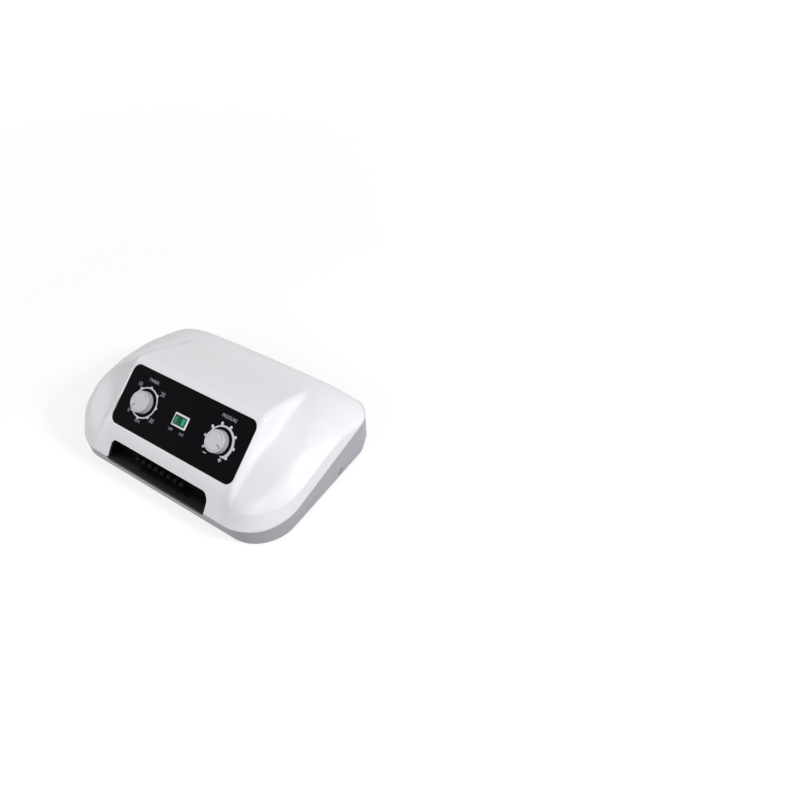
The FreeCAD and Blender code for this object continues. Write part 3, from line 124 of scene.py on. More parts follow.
def colour(name, description, hex_colour):
    return FloatVectorProperty(name=name, description=description, subtype="COLOR", size=4,
                               min=0.0, max=1.0, default=linear(hex_colour))


def length(name, description, value, low, high):
    return FloatProperty(name=name, description=description, default=value * MM,
                         min=low * MM, max=high * MM, unit="LENGTH")


def power(name, description, watts):
    return FloatProperty(name=name, description=description, default=watts, min=0.0, max=500.0, unit="POWER")


class PumpCasing(bpy.types.PropertyGroup):
    """Sizes and colours of the two-part casing."""
    cover_colour: colour("Cover", "Moulded white of the upper cover", "E8E6EA")
    tray_colour: colour("Tray", "Moulded grey of the base", "A8A6AE")
    crest_round: length("Crest rounding", "Radius along the top of the face", 5.0, 2, 8)
    flank_round: length("Flank rounding", "Radius along the ridge's flanks", 6.0, 2, 8)
    foot_fillet: length("Flank fillet", "Hollow fillet where a flank meets a shoulder", 5.0, 3, 20)
    shoulder_round: length("Shoulder rounding", "Radius from a shoulder to its side wall", 4.5, 2, 8)


class PumpControls(bpy.types.PropertyGroup):
    """Sizes and colours of the control face."""
    label_colour: colour("Label", "Black of the label film", "0D0A0E")
    print_colour: colour("Print", "Pale screen ink of the dials", "CBCDD9")
    lettering_colour: colour("Lettering", "Greyer ink of the numbers and words", "8E8B98")
    knob_colour: colour("Knob", "Silver-grey of the knobs", "CCCBD1")
    pointer_colour: colour("Pointer", "Dark ink of the knobs' pointers", "55535B")
    key_colour: colour("Rocker", "Deep green of the rocker", "06452F")
    lamp_colour: colour("Lamp", "Bright green where the lamp shines through", "1FA578")
    knob_diameter: length("Knob diameter", "Across the ribs at the foot", 26.5, 20, 30)
    knob_ribs: IntProperty(name="Knob ribs", description="Round each knob", default=32, min=12, max=60)
    dial_radius: length("Dial radius", "Middle of the printed ring of the timer", 17.6, 15, 20)


class PumpStage(bpy.types.PropertyGroup):
    """Floor, light and camera."""
    floor_colour: colour("Floor", "Pale floor and backdrop", "F4F4F6")
    key_power: power("Key light", "Power of the light on the right", 39.0)
    fill_power: power("Fill light", "Power of the wide light in front", 13.5)
    room_light: FloatProperty(name="Room light", description="Strength of the even light from the room",
                              default=0.47, min=0.0, max=2.0)
    lens: FloatProperty(name="Lens", description="Focal length for a 36 mm sensor, in millimetres",
                        default=27.0, min=10.0, max=200.0)


# ---------------- material tools
def add_node(tree, kind, inputs=None, **settings):
    """Adds a node with its settings; an input is a value or the socket that feeds it."""
    node = tree.nodes.new(kind)
    for name, value in settings.items():
        setattr(node, name, value)
    for name, value in (inputs or {}).items():
        if isinstance(value, bpy.types.NodeSocket):
            tree.links.new(value, node.inputs[name])
        else:
            node.inputs[name].default_value = value
    return node


def new_material(name):
    """An empty material, its node tree and the position on the object."""
    material = bpy.data.materials.new(name)
    material.use_nodes = True
    material.node_tree.nodes.clear()
    return material, material.node_tree, add_node(material.node_tree, "ShaderNodeTexCoord").outputs["Object"]


def finish_material(material, shader_inputs):
    """Adds the one Principled shader and the output; returns the material."""
    shader = add_node(material.node_tree, "ShaderNodeBsdfPrincipled", shader_inputs)
    add_node(material.node_tree, "ShaderNodeOutputMaterial", {"Surface": shader.outputs["BSDF"]})
    return material


def patches(tree, place, across_mm, detail):
    """Soft noise from 0 to 1, with patches of one size."""
    return add_node(tree, "ShaderNodeTexNoise", {
        "Vector": place, "Scale": 1 / (across_mm * MM), "Detail": detail}).outputs["Fac"]


def mixed(tree, share, first, second):
    """A colour between two: the second one's share runs from 0 to 1."""
    return add_node(tree, "ShaderNodeMix", {0: share, 6: first, 7: second}, data_type="RGBA").outputs[2]


def relief(tree, height, depth_mm):
    """Small relief of a pattern, as a bent normal."""
    return add_node(tree, "ShaderNodeBump", {"Height": height, "Distance": depth_mm * MM}).outputs["Normal"]


def white_light(tree, kind, strength):
    """White light of one strength, from a surface or from the world."""
    return add_node(tree, kind, {"Color": (1, 1, 1, 1), "Strength": strength}).outputs[0]


def by_ray(tree, lighting, seen):
    """The shader seen for camera, glossy and transmission rays, and lighting for the others."""
    path = add_node(tree, "ShaderNodeLightPath").outputs
    share = path["Is Camera Ray"]
    for ray in ("Is Glossy Ray", "Is Transmission Ray"):
        share = add_node(tree, "ShaderNodeMath", {0: share, 1: path[ray]}, operation="MAXIMUM").outputs[0]
    return add_node(tree, "ShaderNodeMixShader", {0: share, 1: lighting, 2: seen}).outputs[0]


def darker(colour_value, factor):
    """The same colour, scaled in linear light."""
    return tuple(c * factor for c in colour_value[:3]) + (1.0,)


def worn(material, tree, tone, grain, base, shade, roughness, spread, depth_mm, sockets):
    """Colour and gloss shift with the pattern tone; the relief follows the pattern grain."""
    gloss = add_node(tree, "ShaderNodeMapRange", {
        "Value": tone, "From Min": 0.3, "From Max": 0.7,
        "To Min": roughness * (1 - spread), "To Max": roughness * (1 + spread)})
    return finish_material(material, {
        "Base Color": mixed(tree, tone, base, darker(base, shade)), "Roughness": gloss.outputs["Result"],
        "Normal": relief(tree, grain, depth_mm), **sockets})


def moulding(name, base, roughness, grain_mm, depth_mm, shade=0.9, specular=0.5, index=1.5):
    """A moulded or extruded plastic: broad flow patches 55 mm across shift colour and gloss a
    little, and the tool's grain is a relief of grain_mm patches, depth_mm deep."""
    material, tree, place = new_material(name)
    flow, grain = patches(tree, place, 55, 2.0), patches(tree, place, grain_mm, 2.0)
    return worn(material, tree, flow, grain, base, shade, roughness, 0.07, depth_mm,
                {"Specular IOR Level": specular, "IOR": index})


def bare_metal(name, hex_colour, roughness, streak_mm, depth_mm, stretch=(1.0, 1.0, 1.0)):
    """A bare metal: streaks left by its tool, drawn out along an axis by stretch, change
    colour, gloss and relief together."""
    material, tree, place = new_material(name)
    drawn = add_node(tree, "ShaderNodeMapping", {"Vector": place, "Scale": stretch}).outputs["Vector"]
    streaks = patches(tree, drawn, streak_mm, 3.0)
    return worn(material, tree, streaks, streaks, linear(hex_colour), 0.7, roughness, 0.2, depth_mm,
                {"Metallic": 1.0})


# ---------------- materials
def cover_abs(base):
    """Injection-moulded ABS from a finely sanded tool: clean white, half glossy, with broad
    soft highlights. Its orange peel is finer than a pixel, so it is drawn 2.5 mm across."""
    return moulding("moulded_abs_white", base, 0.38, 2.5, 0.003, shade=0.975, index=1.53)


def tray_abs(base):
    """Injection-moulded ABS from a spark-eroded tool: neutral grey with a fine matt grain.
    The 0.2 mm grit is drawn at 0.9 mm so that it shows."""
    return moulding("moulded_abs_grey", base, 0.5, 0.9, 0.03, shade=0.93, index=1.53)


def recess_abs():
    """Injection-moulded black ABS with only a weak satin reflection: a dark hollow."""
    return moulding("moulded_abs_black", linear("0A090B"), 0.34, 1.6, 0.008, shade=0.7, specular=0.16)


def nozzle_nylon():
    """Turned black nylon: a little duller than the recess behind it."""
    return moulding("turned_nylon_black", linear("0C0B0D"), 0.4, 0.8, 0.01, shade=0.7, specular=0.1)


def label_film(base):
    """Screen-printed anti-glare polycarbonate film on a plate: near black, with so little
    reflection that only a faint broad sheen is left."""
    return moulding("polycarbonate_film_black", base, 0.34, 1.2, 0.003, shade=0.8, specular=0.03)


def screen_ink(name, base):
    """Screen ink: matt, slightly uneven where the mesh left pinholes, drawn at 0.4 mm."""
    return moulding(name, base, 0.55, 0.4, 0.01, shade=0.9)


def knob_lacquer(base):
    """ABS under satin silver-grey lacquer: pale, with fine flake and a soft bright rim.
    The flake is drawn at 0.5 mm so that it shows."""
    material, tree, place = new_material("lacquered_abs_silver")
    flake = patches(tree, place, 0.5, 3.0)
    return finish_material(material, {
        "Base Color": mixed(tree, flake, base, darker(base, 0.82)), "Normal": relief(tree, flake, 0.006),
        "Roughness": 0.36, "Metallic": 0.3, "Coat Weight": 0.15, "Coat Roughness": 0.2})


def clear_green(base, bright):
    """Clear green polycarbonate over a lamp: deep and wet-looking, a little cloudy inside,
    and brighter, with a faint glow of its own, where its attribute lets lamp light through.
    The attribute's two small spots are painted highlights, brightened and glowing the same way."""
    material, tree, place = new_material("polycarbonate_clear_green")
    # the attribute also carries two painted highlight spots, which glow along with the lamp light
    lamp_and_glints = add_node(tree, "ShaderNodeAttribute", attribute_name="lamp_and_glints").outputs["Fac"]
    cloud = patches(tree, place, 2.0, 2.0)
    deep, lit = mixed(tree, cloud, base, darker(base, 0.4)), mixed(tree, cloud, bright, darker(bright, 0.75))
    body = mixed(tree, lamp_and_glints, deep, lit)
    return finish_material(material, {
        "Base Color": body, "Roughness": 0.2, "IOR": 1.58, "Specular IOR Level": 0.1,
        "Emission Color": body, "Emission Strength": 0.3})


def frame_nylon():
    """Moulded nylon, off-white: satin, with a fine tool grain."""
    return moulding("moulded_nylon_white", linear("E4E5EA"), 0.36, 0.7, 0.01, shade=0.95)


def works_finishes():
    """Finishes of the feet, the screws and the works inside, by the record's material slot."""
    return {
        # black housings, dull
        "black_plastic": moulding("moulded_polyamide_black", linear("1C1B1E"), 0.42, 0.9, 0.02),
        # bluish bright plating over pressed steel
        "steel": bare_metal("zinc_plated_steel", "B9BCC0", 0.3, 0.6, 0.01),
        # yellow, with rings from the lathe
        "brass": bare_metal("turned_brass", "C9A65A", 0.25, 0.3, 0.01, (1.0, 1.0, 6.0)),
        # grey oiled wire
        "spring": bare_metal("drawn_spring_steel", "8E9196", 0.28, 0.3, 0.005),
        # grainy cast skin
        "aluminium": bare_metal("cast_aluminium", "A9ACB0", 0.5, 1.2, 0.06),
        # dark, dry and slightly pitted
        "magnet": bare_metal("sintered_ferrite", "3A3A3E", 0.6, 0.6, 0.03),
        # reddish brown windings
        "copper": bare_metal("enamelled_copper_wire", "B0602F", 0.3, 0.5, 0.12, (1.0, 1.0, 5.0)),
        # waxy white, machined
        "valve": moulding("machined_acetal_white", linear("D9D8D2"), 0.35, 0.6, 0.01),
        # milky soft hose
        "tube": moulding("extruded_silicone_milky", linear("C9D2D6"), 0.3, 1.5, 0.01),
        # near black and dull, with a powdery grain drawn at 0.8 mm
        "rubber": moulding("moulded_rubber_black", linear("242326"), 0.8, 0.8, 0.05, shade=0.8),
        # green lacquered laminate
        "board": moulding("glass_epoxy_green", linear("1F5A34"), 0.4, 0.6, 0.02),
        # matt black component cases
        "board_parts": moulding("moulded_epoxy_black", linear("26262B"), 0.5, 0.5, 0.01),
    }


# ---------------- mesh tools
def face_points(u, v, n):
    """Points of the control face: origin + u across + v up the face + n outwards."""
    u, v, n = np.broadcast_arrays(np.asarray(u, float), v, n)
    return np.stack([u, FACE_Y + v * FACE_COS - n * FACE_SIN, FACE_Z + v * FACE_SIN + n * FACE_COS], -1)


def grid_faces(rows, columns, wrap_rows=False, wrap_columns=True):
    """Quads between neighbouring points of a grid whose points run row by row."""
    row = np.arange(rows if wrap_rows else rows - 1)
    column = np.arange(columns if wrap_columns else columns - 1)
    row, column = (a.ravel() for a in np.meshgrid(row, column, indexing="ij"))
    above, beside = (row + 1) % rows, (column + 1) % columns
    return np.stack([row * columns + column, row * columns + beside,
                     above * columns + beside, above * columns + column], -1)


def fan(centre, ring, flip=False):
    """Triangles from one point to a closed ring of points."""
    following = np.roll(ring, -1)
    pair = (following, ring) if flip else (ring, following)
    return np.stack([np.full(len(ring), centre), pair[0], pair[1]], -1)


def new_object(name, data):
    """Makes an object and puts it in the scene."""
    made = bpy.data.objects.new(name, data)
    bpy.context.scene.collection.objects.link(made)
    return made


def add_piece(name, points, faces, material, body, sharp=35.0, normals=None):
    """Makes a mesh from points in millimetres and blocks of faces, and rides it on a body.
    A point may bring its own normal; a zero leaves it to Blender."""
    mesh = bpy.data.meshes.new(name)
    corners = [row for block in faces for row in np.asarray(block).tolist()]
    mesh.from_pydata((np.asarray(points) * MM).tolist(), [], corners)
    mesh.validate()
    mesh.polygons.foreach_set("use_smooth", np.ones(len(mesh.polygons), bool))
    mesh.set_sharp_from_angle(angle=np.radians(sharp))
    if normals is not None:
        mesh.normals_split_custom_set_from_vertices(normals.tolist())
    mesh.materials.append(material)
    piece = new_object(name, mesh)
    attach(piece, body)
    return piece


def turned(profile, columns, warp):
    """A closed solid of revolution about n: point = (r cos a, r sin a, n) for each profile
    point (r, n), with warp(a, n) added to r. Each end of the profile is one point on the axis."""
    angle = np.linspace(0, 2 * np.pi, columns, endpoint=False)
    r, n = profile[1:-1].T[..., None]
    r, n = np.broadcast_arrays(r + warp(angle, n), n)
    ring = np.stack([r * np.cos(angle), r * np.sin(angle), n], -1).reshape(-1, 3)
    points = np.vstack([ring, [0, 0, profile[0, 1]], [0, 0, profile[-1, 1]]])
    round_it, last = np.arange(columns), len(ring) - columns
    faces = [grid_faces(len(r), columns)[:, ::-1], fan(len(ring), round_it),
             fan(len(ring) + 1, last + round_it, flip=True)]
    return points, faces


def rounded_profile(corners, radii, steps=5):
    """A profile through corner points, each rounded by a Bezier arc: from one tangent point
    through the corner to the other."""
    corners = np.asarray(corners, float)
    points = [corners[0]]
    for before, corner, after, radius in zip(corners, corners[1:], corners[2:], radii):
        if radius <= 0:
            points.append(corner)
            continue
        into, out = before - corner, after - corner
        reach = min(radius, 0.49 * np.hypot(*into), 0.49 * np.hypot(*out))
        start, end = corner + into / np.hypot(*into) * reach, corner + out / np.hypot(*out) * reach
        t = np.linspace(0, 1, steps)[:, None]
        points.extend((1 - t) ** 2 * start + 2 * t * (1 - t) * corner + t ** 2 * end)
    points.append(corners[-1])
    return np.array(points)


# ---------------- shape of the upper cover
def round_both(a, b, radius):
    """What two solids share, as distances, with a rounded edge."""
    over_a, over_b = np.maximum(a + radius, 0), np.maximum(b + radius, 0)
    return np.minimum(-radius, np.maximum(a, b)) + np.hypot(over_a, over_b)


def round_either(a, b, radius):
    """Two solids joined, as distances, with a hollow fillet."""
    return -round_both(-a, -b, radius)


def seam_z(y):
    """Height of the seam: level at the front, then rising in a straight line."""
    return SEAM_FRONT_Z + SEAM_RISE * np.maximum(0, y - (FRONT_Y + SEAM_LEVEL))


def walls_distance(x, y, z):
    """Distance outside the walls: a rounded rectangle in plan. Over the seam its sides stand
    upright and then tuck in, its front leans back, less so towards the corners, and its rear
    corners grow rounder."""
    over = np.maximum(z - SEAM_FRONT_Z - SEAM_RISE * (y - FRONT_Y), 0)
    side = np.interp(over, TUCK_OVER, TUCK)
    corner = np.where(y < 0, CORNER_FRONT, CORNER_REAR + CORNER_REAR_GAIN * over)
    aside = np.clip((np.abs(x) - LEAN_FROM) / (LEAN_TO - LEAN_FROM), 0, 1)
    lean = FRONT_LEAN * (1 - LEAN_LOSS * aside * aside * (3 - 2 * aside))
    beyond_x = np.abs(x) - (HALF_WIDTH - side - corner)
    beyond_y = np.where(y < 0, FRONT_Y + lean * over + corner - y, y - (REAR_Y - corner))
    outside = np.hypot(np.maximum(beyond_x, 0), np.maximum(beyond_y, 0))
    return outside + np.minimum(np.maximum(beyond_x, beyond_y), 0) - corner


def face_distance(y, z):
    """Distance over the plane of the border round the label."""
    return -(y - FACE_Y) * FACE_SIN + (z - FACE_Z) * FACE_COS - LABEL_SINK


def shoulders_distance(x, y, z):
    """Distance above the shoulders: an arc along y that drops towards the sides with the
    fourth power of x, bent down at the front to the face's plane."""
    arc = np.hypot(y - SHOULDER_TOP_Y, z - (SHOULDER_TOP_Z - SHOULDER_RADIUS)) - SHOULDER_RADIUS
    drop = SHOULDER_DROP * (np.abs(x) / SHOULDER_DROP_X) ** 4
    return round_both(arc + drop, face_distance(y, z), SHOULDER_BEND)


def ridge_distance(x, y, z, crest_round, flank_round):
    """Distance outside the ridge: under the plane of the face, under the arc that falls from
    its crest to the back, and between two leaning flanks. The flanks' upper edges run straight
    from foot to crest and on to the tip, each given by its y, its z and the half width."""
    above_arc = np.hypot(y - RIDGE_ARC_Y, z - RIDGE_ARC_Z) - RIDGE_ARC_RADIUS
    foot, crest, tip = RIDGE_FOOT, RIDGE_CREST, RIDGE_TIP
    forward = (y - foot[0]) / (crest[0] - foot[0])
    backward = (y - crest[0]) / (tip[0] - crest[0])
    edge_z, half = (np.where(y < crest[0], foot[i] + (crest[i] - foot[i]) * forward,
                             crest[i] + (tip[i] - crest[i]) * backward) for i in (1, 2))
    beyond = (np.abs(x) - half - FLANK_LEAN * (edge_z - z)) / np.hypot(1, FLANK_LEAN)
    return round_both(round_both(face_distance(y, z), above_arc, crest_round), beyond, flank_round)


def cover_distance(points, sizes):
    """The whole outer skin: shoulders and ridge, joined by a hollow fillet, cut by the walls
    with an edge that is crisp at the front and grows rounder to the back."""
    x, y, z = points[..., 0], points[..., 1], points[..., 2]
    ridge = ridge_distance(x, y, z, sizes.crest_round / MM, sizes.flank_round / MM)
    above = round_either(shoulders_distance(x, y, z), ridge, sizes.foot_fillet / MM)
    side_edge = sizes.shoulder_round / MM * (1 + EDGE_GAIN * np.clip(y / EDGE_GAIN_Y, 0, 1))
    rear_edge = REAR_EDGE * np.interp(y, REAR_EDGE_Y, (0, 1))
    return round_both(walls_distance(x, y, z), above, np.maximum(side_edge, rear_edge))


def slope_of(points, sizes, step=0.05):
    """Outward unit direction of the skin: the gradient of its distance, by differences."""
    ways = np.eye(3) * step
    rise = np.stack([cover_distance(points + w, sizes) - cover_distance(points - w, sizes) for w in ways], -1)
    return rise / np.linalg.norm(rise, axis=-1, keepdims=True)


def run(start, end, count):
    """count points along a straight line, without its end."""
    return np.linspace(start, end, count, endpoint=False)


def quarter(centre, radius, degrees_from, degrees_to, count):
    """count points along an arc in the plane, without its end."""
    angle = np.radians(run(degrees_from, degrees_to, count))
    return np.stack([centre[0] + radius * np.cos(angle), centre[1] + radius * np.sin(angle)], -1)


def along(path, count):
    """count points evenly spaced by length along a polyline, without its end."""
    passed = np.r_[0, np.cumsum(np.linalg.norm(np.diff(path, axis=0), axis=1))]
    at = run(0, passed[-1], count)
    return np.stack([np.interp(at, passed, path[:, i]) for i in range(path.shape[1])], -1)


def on_front(xz):
    """Points of the front wall, which leans back as it rises, from their x and z."""
    return np.stack([xz[:, 0], FRONT_Y + FRONT_LEAN_PLUMB * (xz[:, 1] - SEAM_FRONT_Z), xz[:, 1]], -1)


def on_seam(xy):
    """Points of the seam over a plan outline."""
    return np.column_stack([xy, seam_z(xy[:, 1])])


def around(side):
    """The right side of an outline, its straight rear, and its left side as a mirror image."""
    return [side[:-1], run(side[-1], side[-1] * [-1, 1], REAR_COLUMNS), side[:0:-1] * [-1, 1]]


def cover_outlines():
    """The pocket's outline in (u, v) and the matching outer edge in space, column by column:
    the outer edge follows the seam, and at the front it climbs round the hose recess. Beside
    the recess the columns start a little outside it, so that none crosses another."""
    hu, hv, hr, sr = POCKET_U, POCKET_V, LABEL_CORNER, SLOT_CORNER
    fx, fy = HALF_WIDTH - CORNER_FRONT, FRONT_Y + CORNER_FRONT
    rx, ry = HALF_WIDTH - CORNER_REAR, REAR_Y - CORNER_REAR
    gap, spread, fan_out = 0.2, 1.5, 2.5
    left, right = SLOT_LEFT - gap, SLOT_RIGHT + gap
    starts = (-hu + hr, left - spread, left, SLOT_LEFT + sr + fan_out, SLOT_RIGHT - sr - fan_out, right,
              right + 2 * spread, hu - hr)
    low, bend, top = SEAM_FRONT_Z, SLOT_TOP_Z - sr, SLOT_TOP_Z
    fronts = (run((-fx, low), (SLOT_LEFT, low), 12),
              run((SLOT_LEFT, low), (SLOT_LEFT, bend), JAMB_COLUMNS),
              quarter((SLOT_LEFT + sr, bend), sr, 180, 90, ARC_COLUMNS),
              run((SLOT_LEFT + sr, top), (SLOT_RIGHT - sr, top), SLOT_COLUMNS),
              quarter((SLOT_RIGHT - sr, bend), sr, 90, 0, ARC_COLUMNS),
              run((SLOT_RIGHT, bend), (SLOT_RIGHT, low), JAMB_COLUMNS),
              run((SLOT_RIGHT, low), (fx, low), 14))
    front_pocket = [run((u0, -hv), (u1, -hv), len(front))
                    for u0, u1, front in zip(starts, starts[1:], fronts)]

    side_y, rear_x = 22.0, 80.0  # where the sides and the rear edge end
    rear_end = [[rear_x, REAR_Y]]
    rear_corner = np.vstack([[[HALF_WIDTH, side_y]], quarter((rx, ry), CORNER_REAR, 0, 90, 40), rear_end])
    side_pocket = np.vstack([
        quarter((hu - hr, -hv + hr), hr, -90, 0, CORNER_COLUMNS),
        run((hu, -hv + hr), (hu, hv - hr), SIDE_COLUMNS),
        quarter((hu - hr, hv - hr), hr, 0, 90, REAR_CORNER_COLUMNS), [[hu - hr, hv]]])
    side_edge = np.vstack([
        quarter((fx, fy), CORNER_FRONT, -90, 0, CORNER_COLUMNS),
        run((HALF_WIDTH, fy), (HALF_WIDTH, side_y), SIDE_COLUMNS),
        along(rear_corner, REAR_CORNER_COLUMNS), rear_end])
    return (np.vstack(front_pocket + around(side_pocket)),
            np.vstack([on_front(np.vstack(fronts)), on_seam(np.vstack(around(side_edge)))]))


def grown(outline, amount):
    """The pocket's outline moved outwards: its straight sides by amount, its corners' centres fixed."""
    inner = np.array([POCKET_U - LABEL_CORNER, POCKET_V - LABEL_CORNER])
    centre = np.clip(outline, -inner, inner)
    return centre + (outline - centre) * (1 + amount / LABEL_CORNER)


def onto_skin(target, heart, sizes):
    """Halves a ray from the heart of the body through each target point onto the skin, which
    lies between 0.2 and 2.6 of the way to the target."""
    low, high = np.full(target.shape[:-1], 0.2), np.full(target.shape[:-1], 2.6)
    way = target - heart
    for _ in range(34):
        middle = (low + high) / 2
        inside = cover_distance(heart + way * middle[..., None], sizes) < 0
        low, high = np.where(inside, middle, low), np.where(inside, high, middle)
    return heart + way * low[..., None]


def cover_grid(sizes):
    """Rows of points round the cover, from the outer edge up over the skin to the label's
    pocket, down its wall, and back along the inside to the edge: one closed surface."""
    pocket, edge = cover_outlines()
    pocket_u, pocket_v = pocket.T

    # the border follows the ridge, which is narrower at the crest than at the foot
    face_half = LABEL_HALF_V + BORDER
    climb = (pocket_v + face_half) / (2 * face_half)
    widen = RIDGE_FOOT[2] + (RIDGE_CREST[2] - RIDGE_FOOT[2]) * climb - LABEL_HALF_U - BORDER
    border = grown(pocket, BORDER - PLAY)
    at_ends = np.clip((np.abs(pocket_u) - LABEL_HALF_U) / LABEL_CORNER + 1, 0, 1)
    border[:, 0] += np.sign(border[:, 0]) * widen * at_ends
    rim = grown(pocket, RIM_ROUND)
    border_at, rim_at = (face_points(*outline.T, LABEL_SINK) for outline in (border, rim))
    heart = np.stack([0.3 * pocket_u, 10.0 + 0.6 * pocket_v, np.full(len(pocket), 15.0)], -1)

    # rows stand closer together near the border, where the skin bends most
    rise = np.linspace(1, 0, SKIN_ROWS)[:, None, None] ** 1.3
    skin = onto_skin(border_at + (edge - border_at) * rise, heart, sizes)
    skin[0] = edge
    band = onto_skin(border_at + (rim_at - border_at) * np.linspace(0, 1, 9)[1:, None, None], heart, sizes)
    band[-1] = rim_at

    # over the rim, down the pocket's wall, and under the shelf that carries the label
    bends, shelf = np.radians([30, 60, 90]), 3.0
    rim_rows = zip(RIM_ROUND * (1 - np.sin(bends)), LABEL_SINK - RIM_ROUND * (1 - np.cos(bends)))
    shelf_rows = ((0, -LABEL_THICK), (-shelf, -LABEL_THICK), (-shelf, -shelf), (shelf, -shelf))
    floor = [face_points(*grown(pocket, outwards).T, n) for outwards, n in (*rim_rows, *shelf_rows)]

    # the inside follows some rows of the skin, down to the edge
    followed = np.array([90, 81, 72, 63, 54, 44, 34, 24, 15, 7, 3])
    within = skin[followed] - WALL * slope_of(skin[followed], sizes)
    at_slot = (edge[:, 1] < 0) & (edge[:, 0] > SLOT_LEFT - 0.1) & (edge[:, 0] < SLOT_RIGHT + 0.1)
    inset = np.where(at_slot[:, None], [0, WALL * np.hypot(1, FRONT_LEAN_PLUMB), 0],
                     -WALL * slope_of(edge, sizes) * [1, 1, 0])
    return np.concatenate([skin, band, floor, within, (edge + inset)[None]])


# ---------------- shapes of the controls
def knob_profile(radius):
    """Half section of a knob, from the middle of its top out, down and back inside to its
    shaft: a faintly hollow top, a groove inside the rim, a leaning side, an open foot."""
    top, rim = KNOB_TOP_N, radius - 0.65
    neck, foot = np.array([rim + 0.1, top - 2.2]), np.array([radius, KNOB_FOOT_N + 0.2])
    corners = [(0, top - 0.1), (rim - 3.2, top - 0.05), (rim - 2.35, top + 0.02), (rim - 2.2, top - 0.75),
               (rim - 1.75, top - 0.75), (rim - 1.6, top), (rim - 0.1, top), neck, foot,
               (radius - 0.2, KNOB_FOOT_N), (9.2, KNOB_FOOT_N), (9.2, 3.7), (3.0, 3.7), (3.0, 7.5), (0, 7.5)]
    radii = [0.8, 0.25, 0.15, 0.15, 0.5, 0.8, 1.0, 0.2, 0.2, 0, 0, 0, 0]
    profile = rounded_profile(corners, radii)
    side = neck + np.linspace(0.06, 0.94, 16)[:, None] * (foot - neck)
    split = int(np.argmin(np.abs(profile[:, 1] - (top - 2.8)) + 10 * (profile[:, 0] < rim - 0.2)))
    return np.vstack([profile[:split + 1], side, profile[split + 1:]])


def add_knob(name, node, body, u, sizes, material):
    """A ribbed knob: its radius is the profile's less a scallop of RIB_DEPTH between ribs,
    times 0.5 + 0.5 cos(ribs x angle), which fades out under the rim's collar."""
    radius = sizes.knob_diameter / MM / 2
    profile = knob_profile(radius)

    def ribs(angle, n):
        scallop = 0.5 + 0.5 * np.cos(angle * sizes.knob_ribs)
        fade = np.clip((KNOB_TOP_N - 2.6 - n) / 0.9, 0, 1) * np.clip((n - KNOB_FOOT_N + 0.6) / 0.8, 0, 1)
        outer = profile[1:-1, 0][:, None] > radius - 1.2
        return -RIB_DEPTH * scallop * fade * outer

    points, faces = turned(profile, sizes.knob_ribs * 10, ribs)
    placed = face_points(u + points[:, 0], DIAL_V + points[:, 1], points[:, 2])
    knob = add_piece(name, placed, faces, material, body, sharp=40.0)
    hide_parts(node)


def smooth_band(value, low, high, soft):
    """1 between low and high, falling smoothly to 0 over soft on both sides."""
    up = np.clip((value - low) / soft + 0.5, 0, 1)
    down = np.clip((high - value) / soft + 0.5, 0, 1)
    both = up * down
    return both * both * (3 - 2 * both)


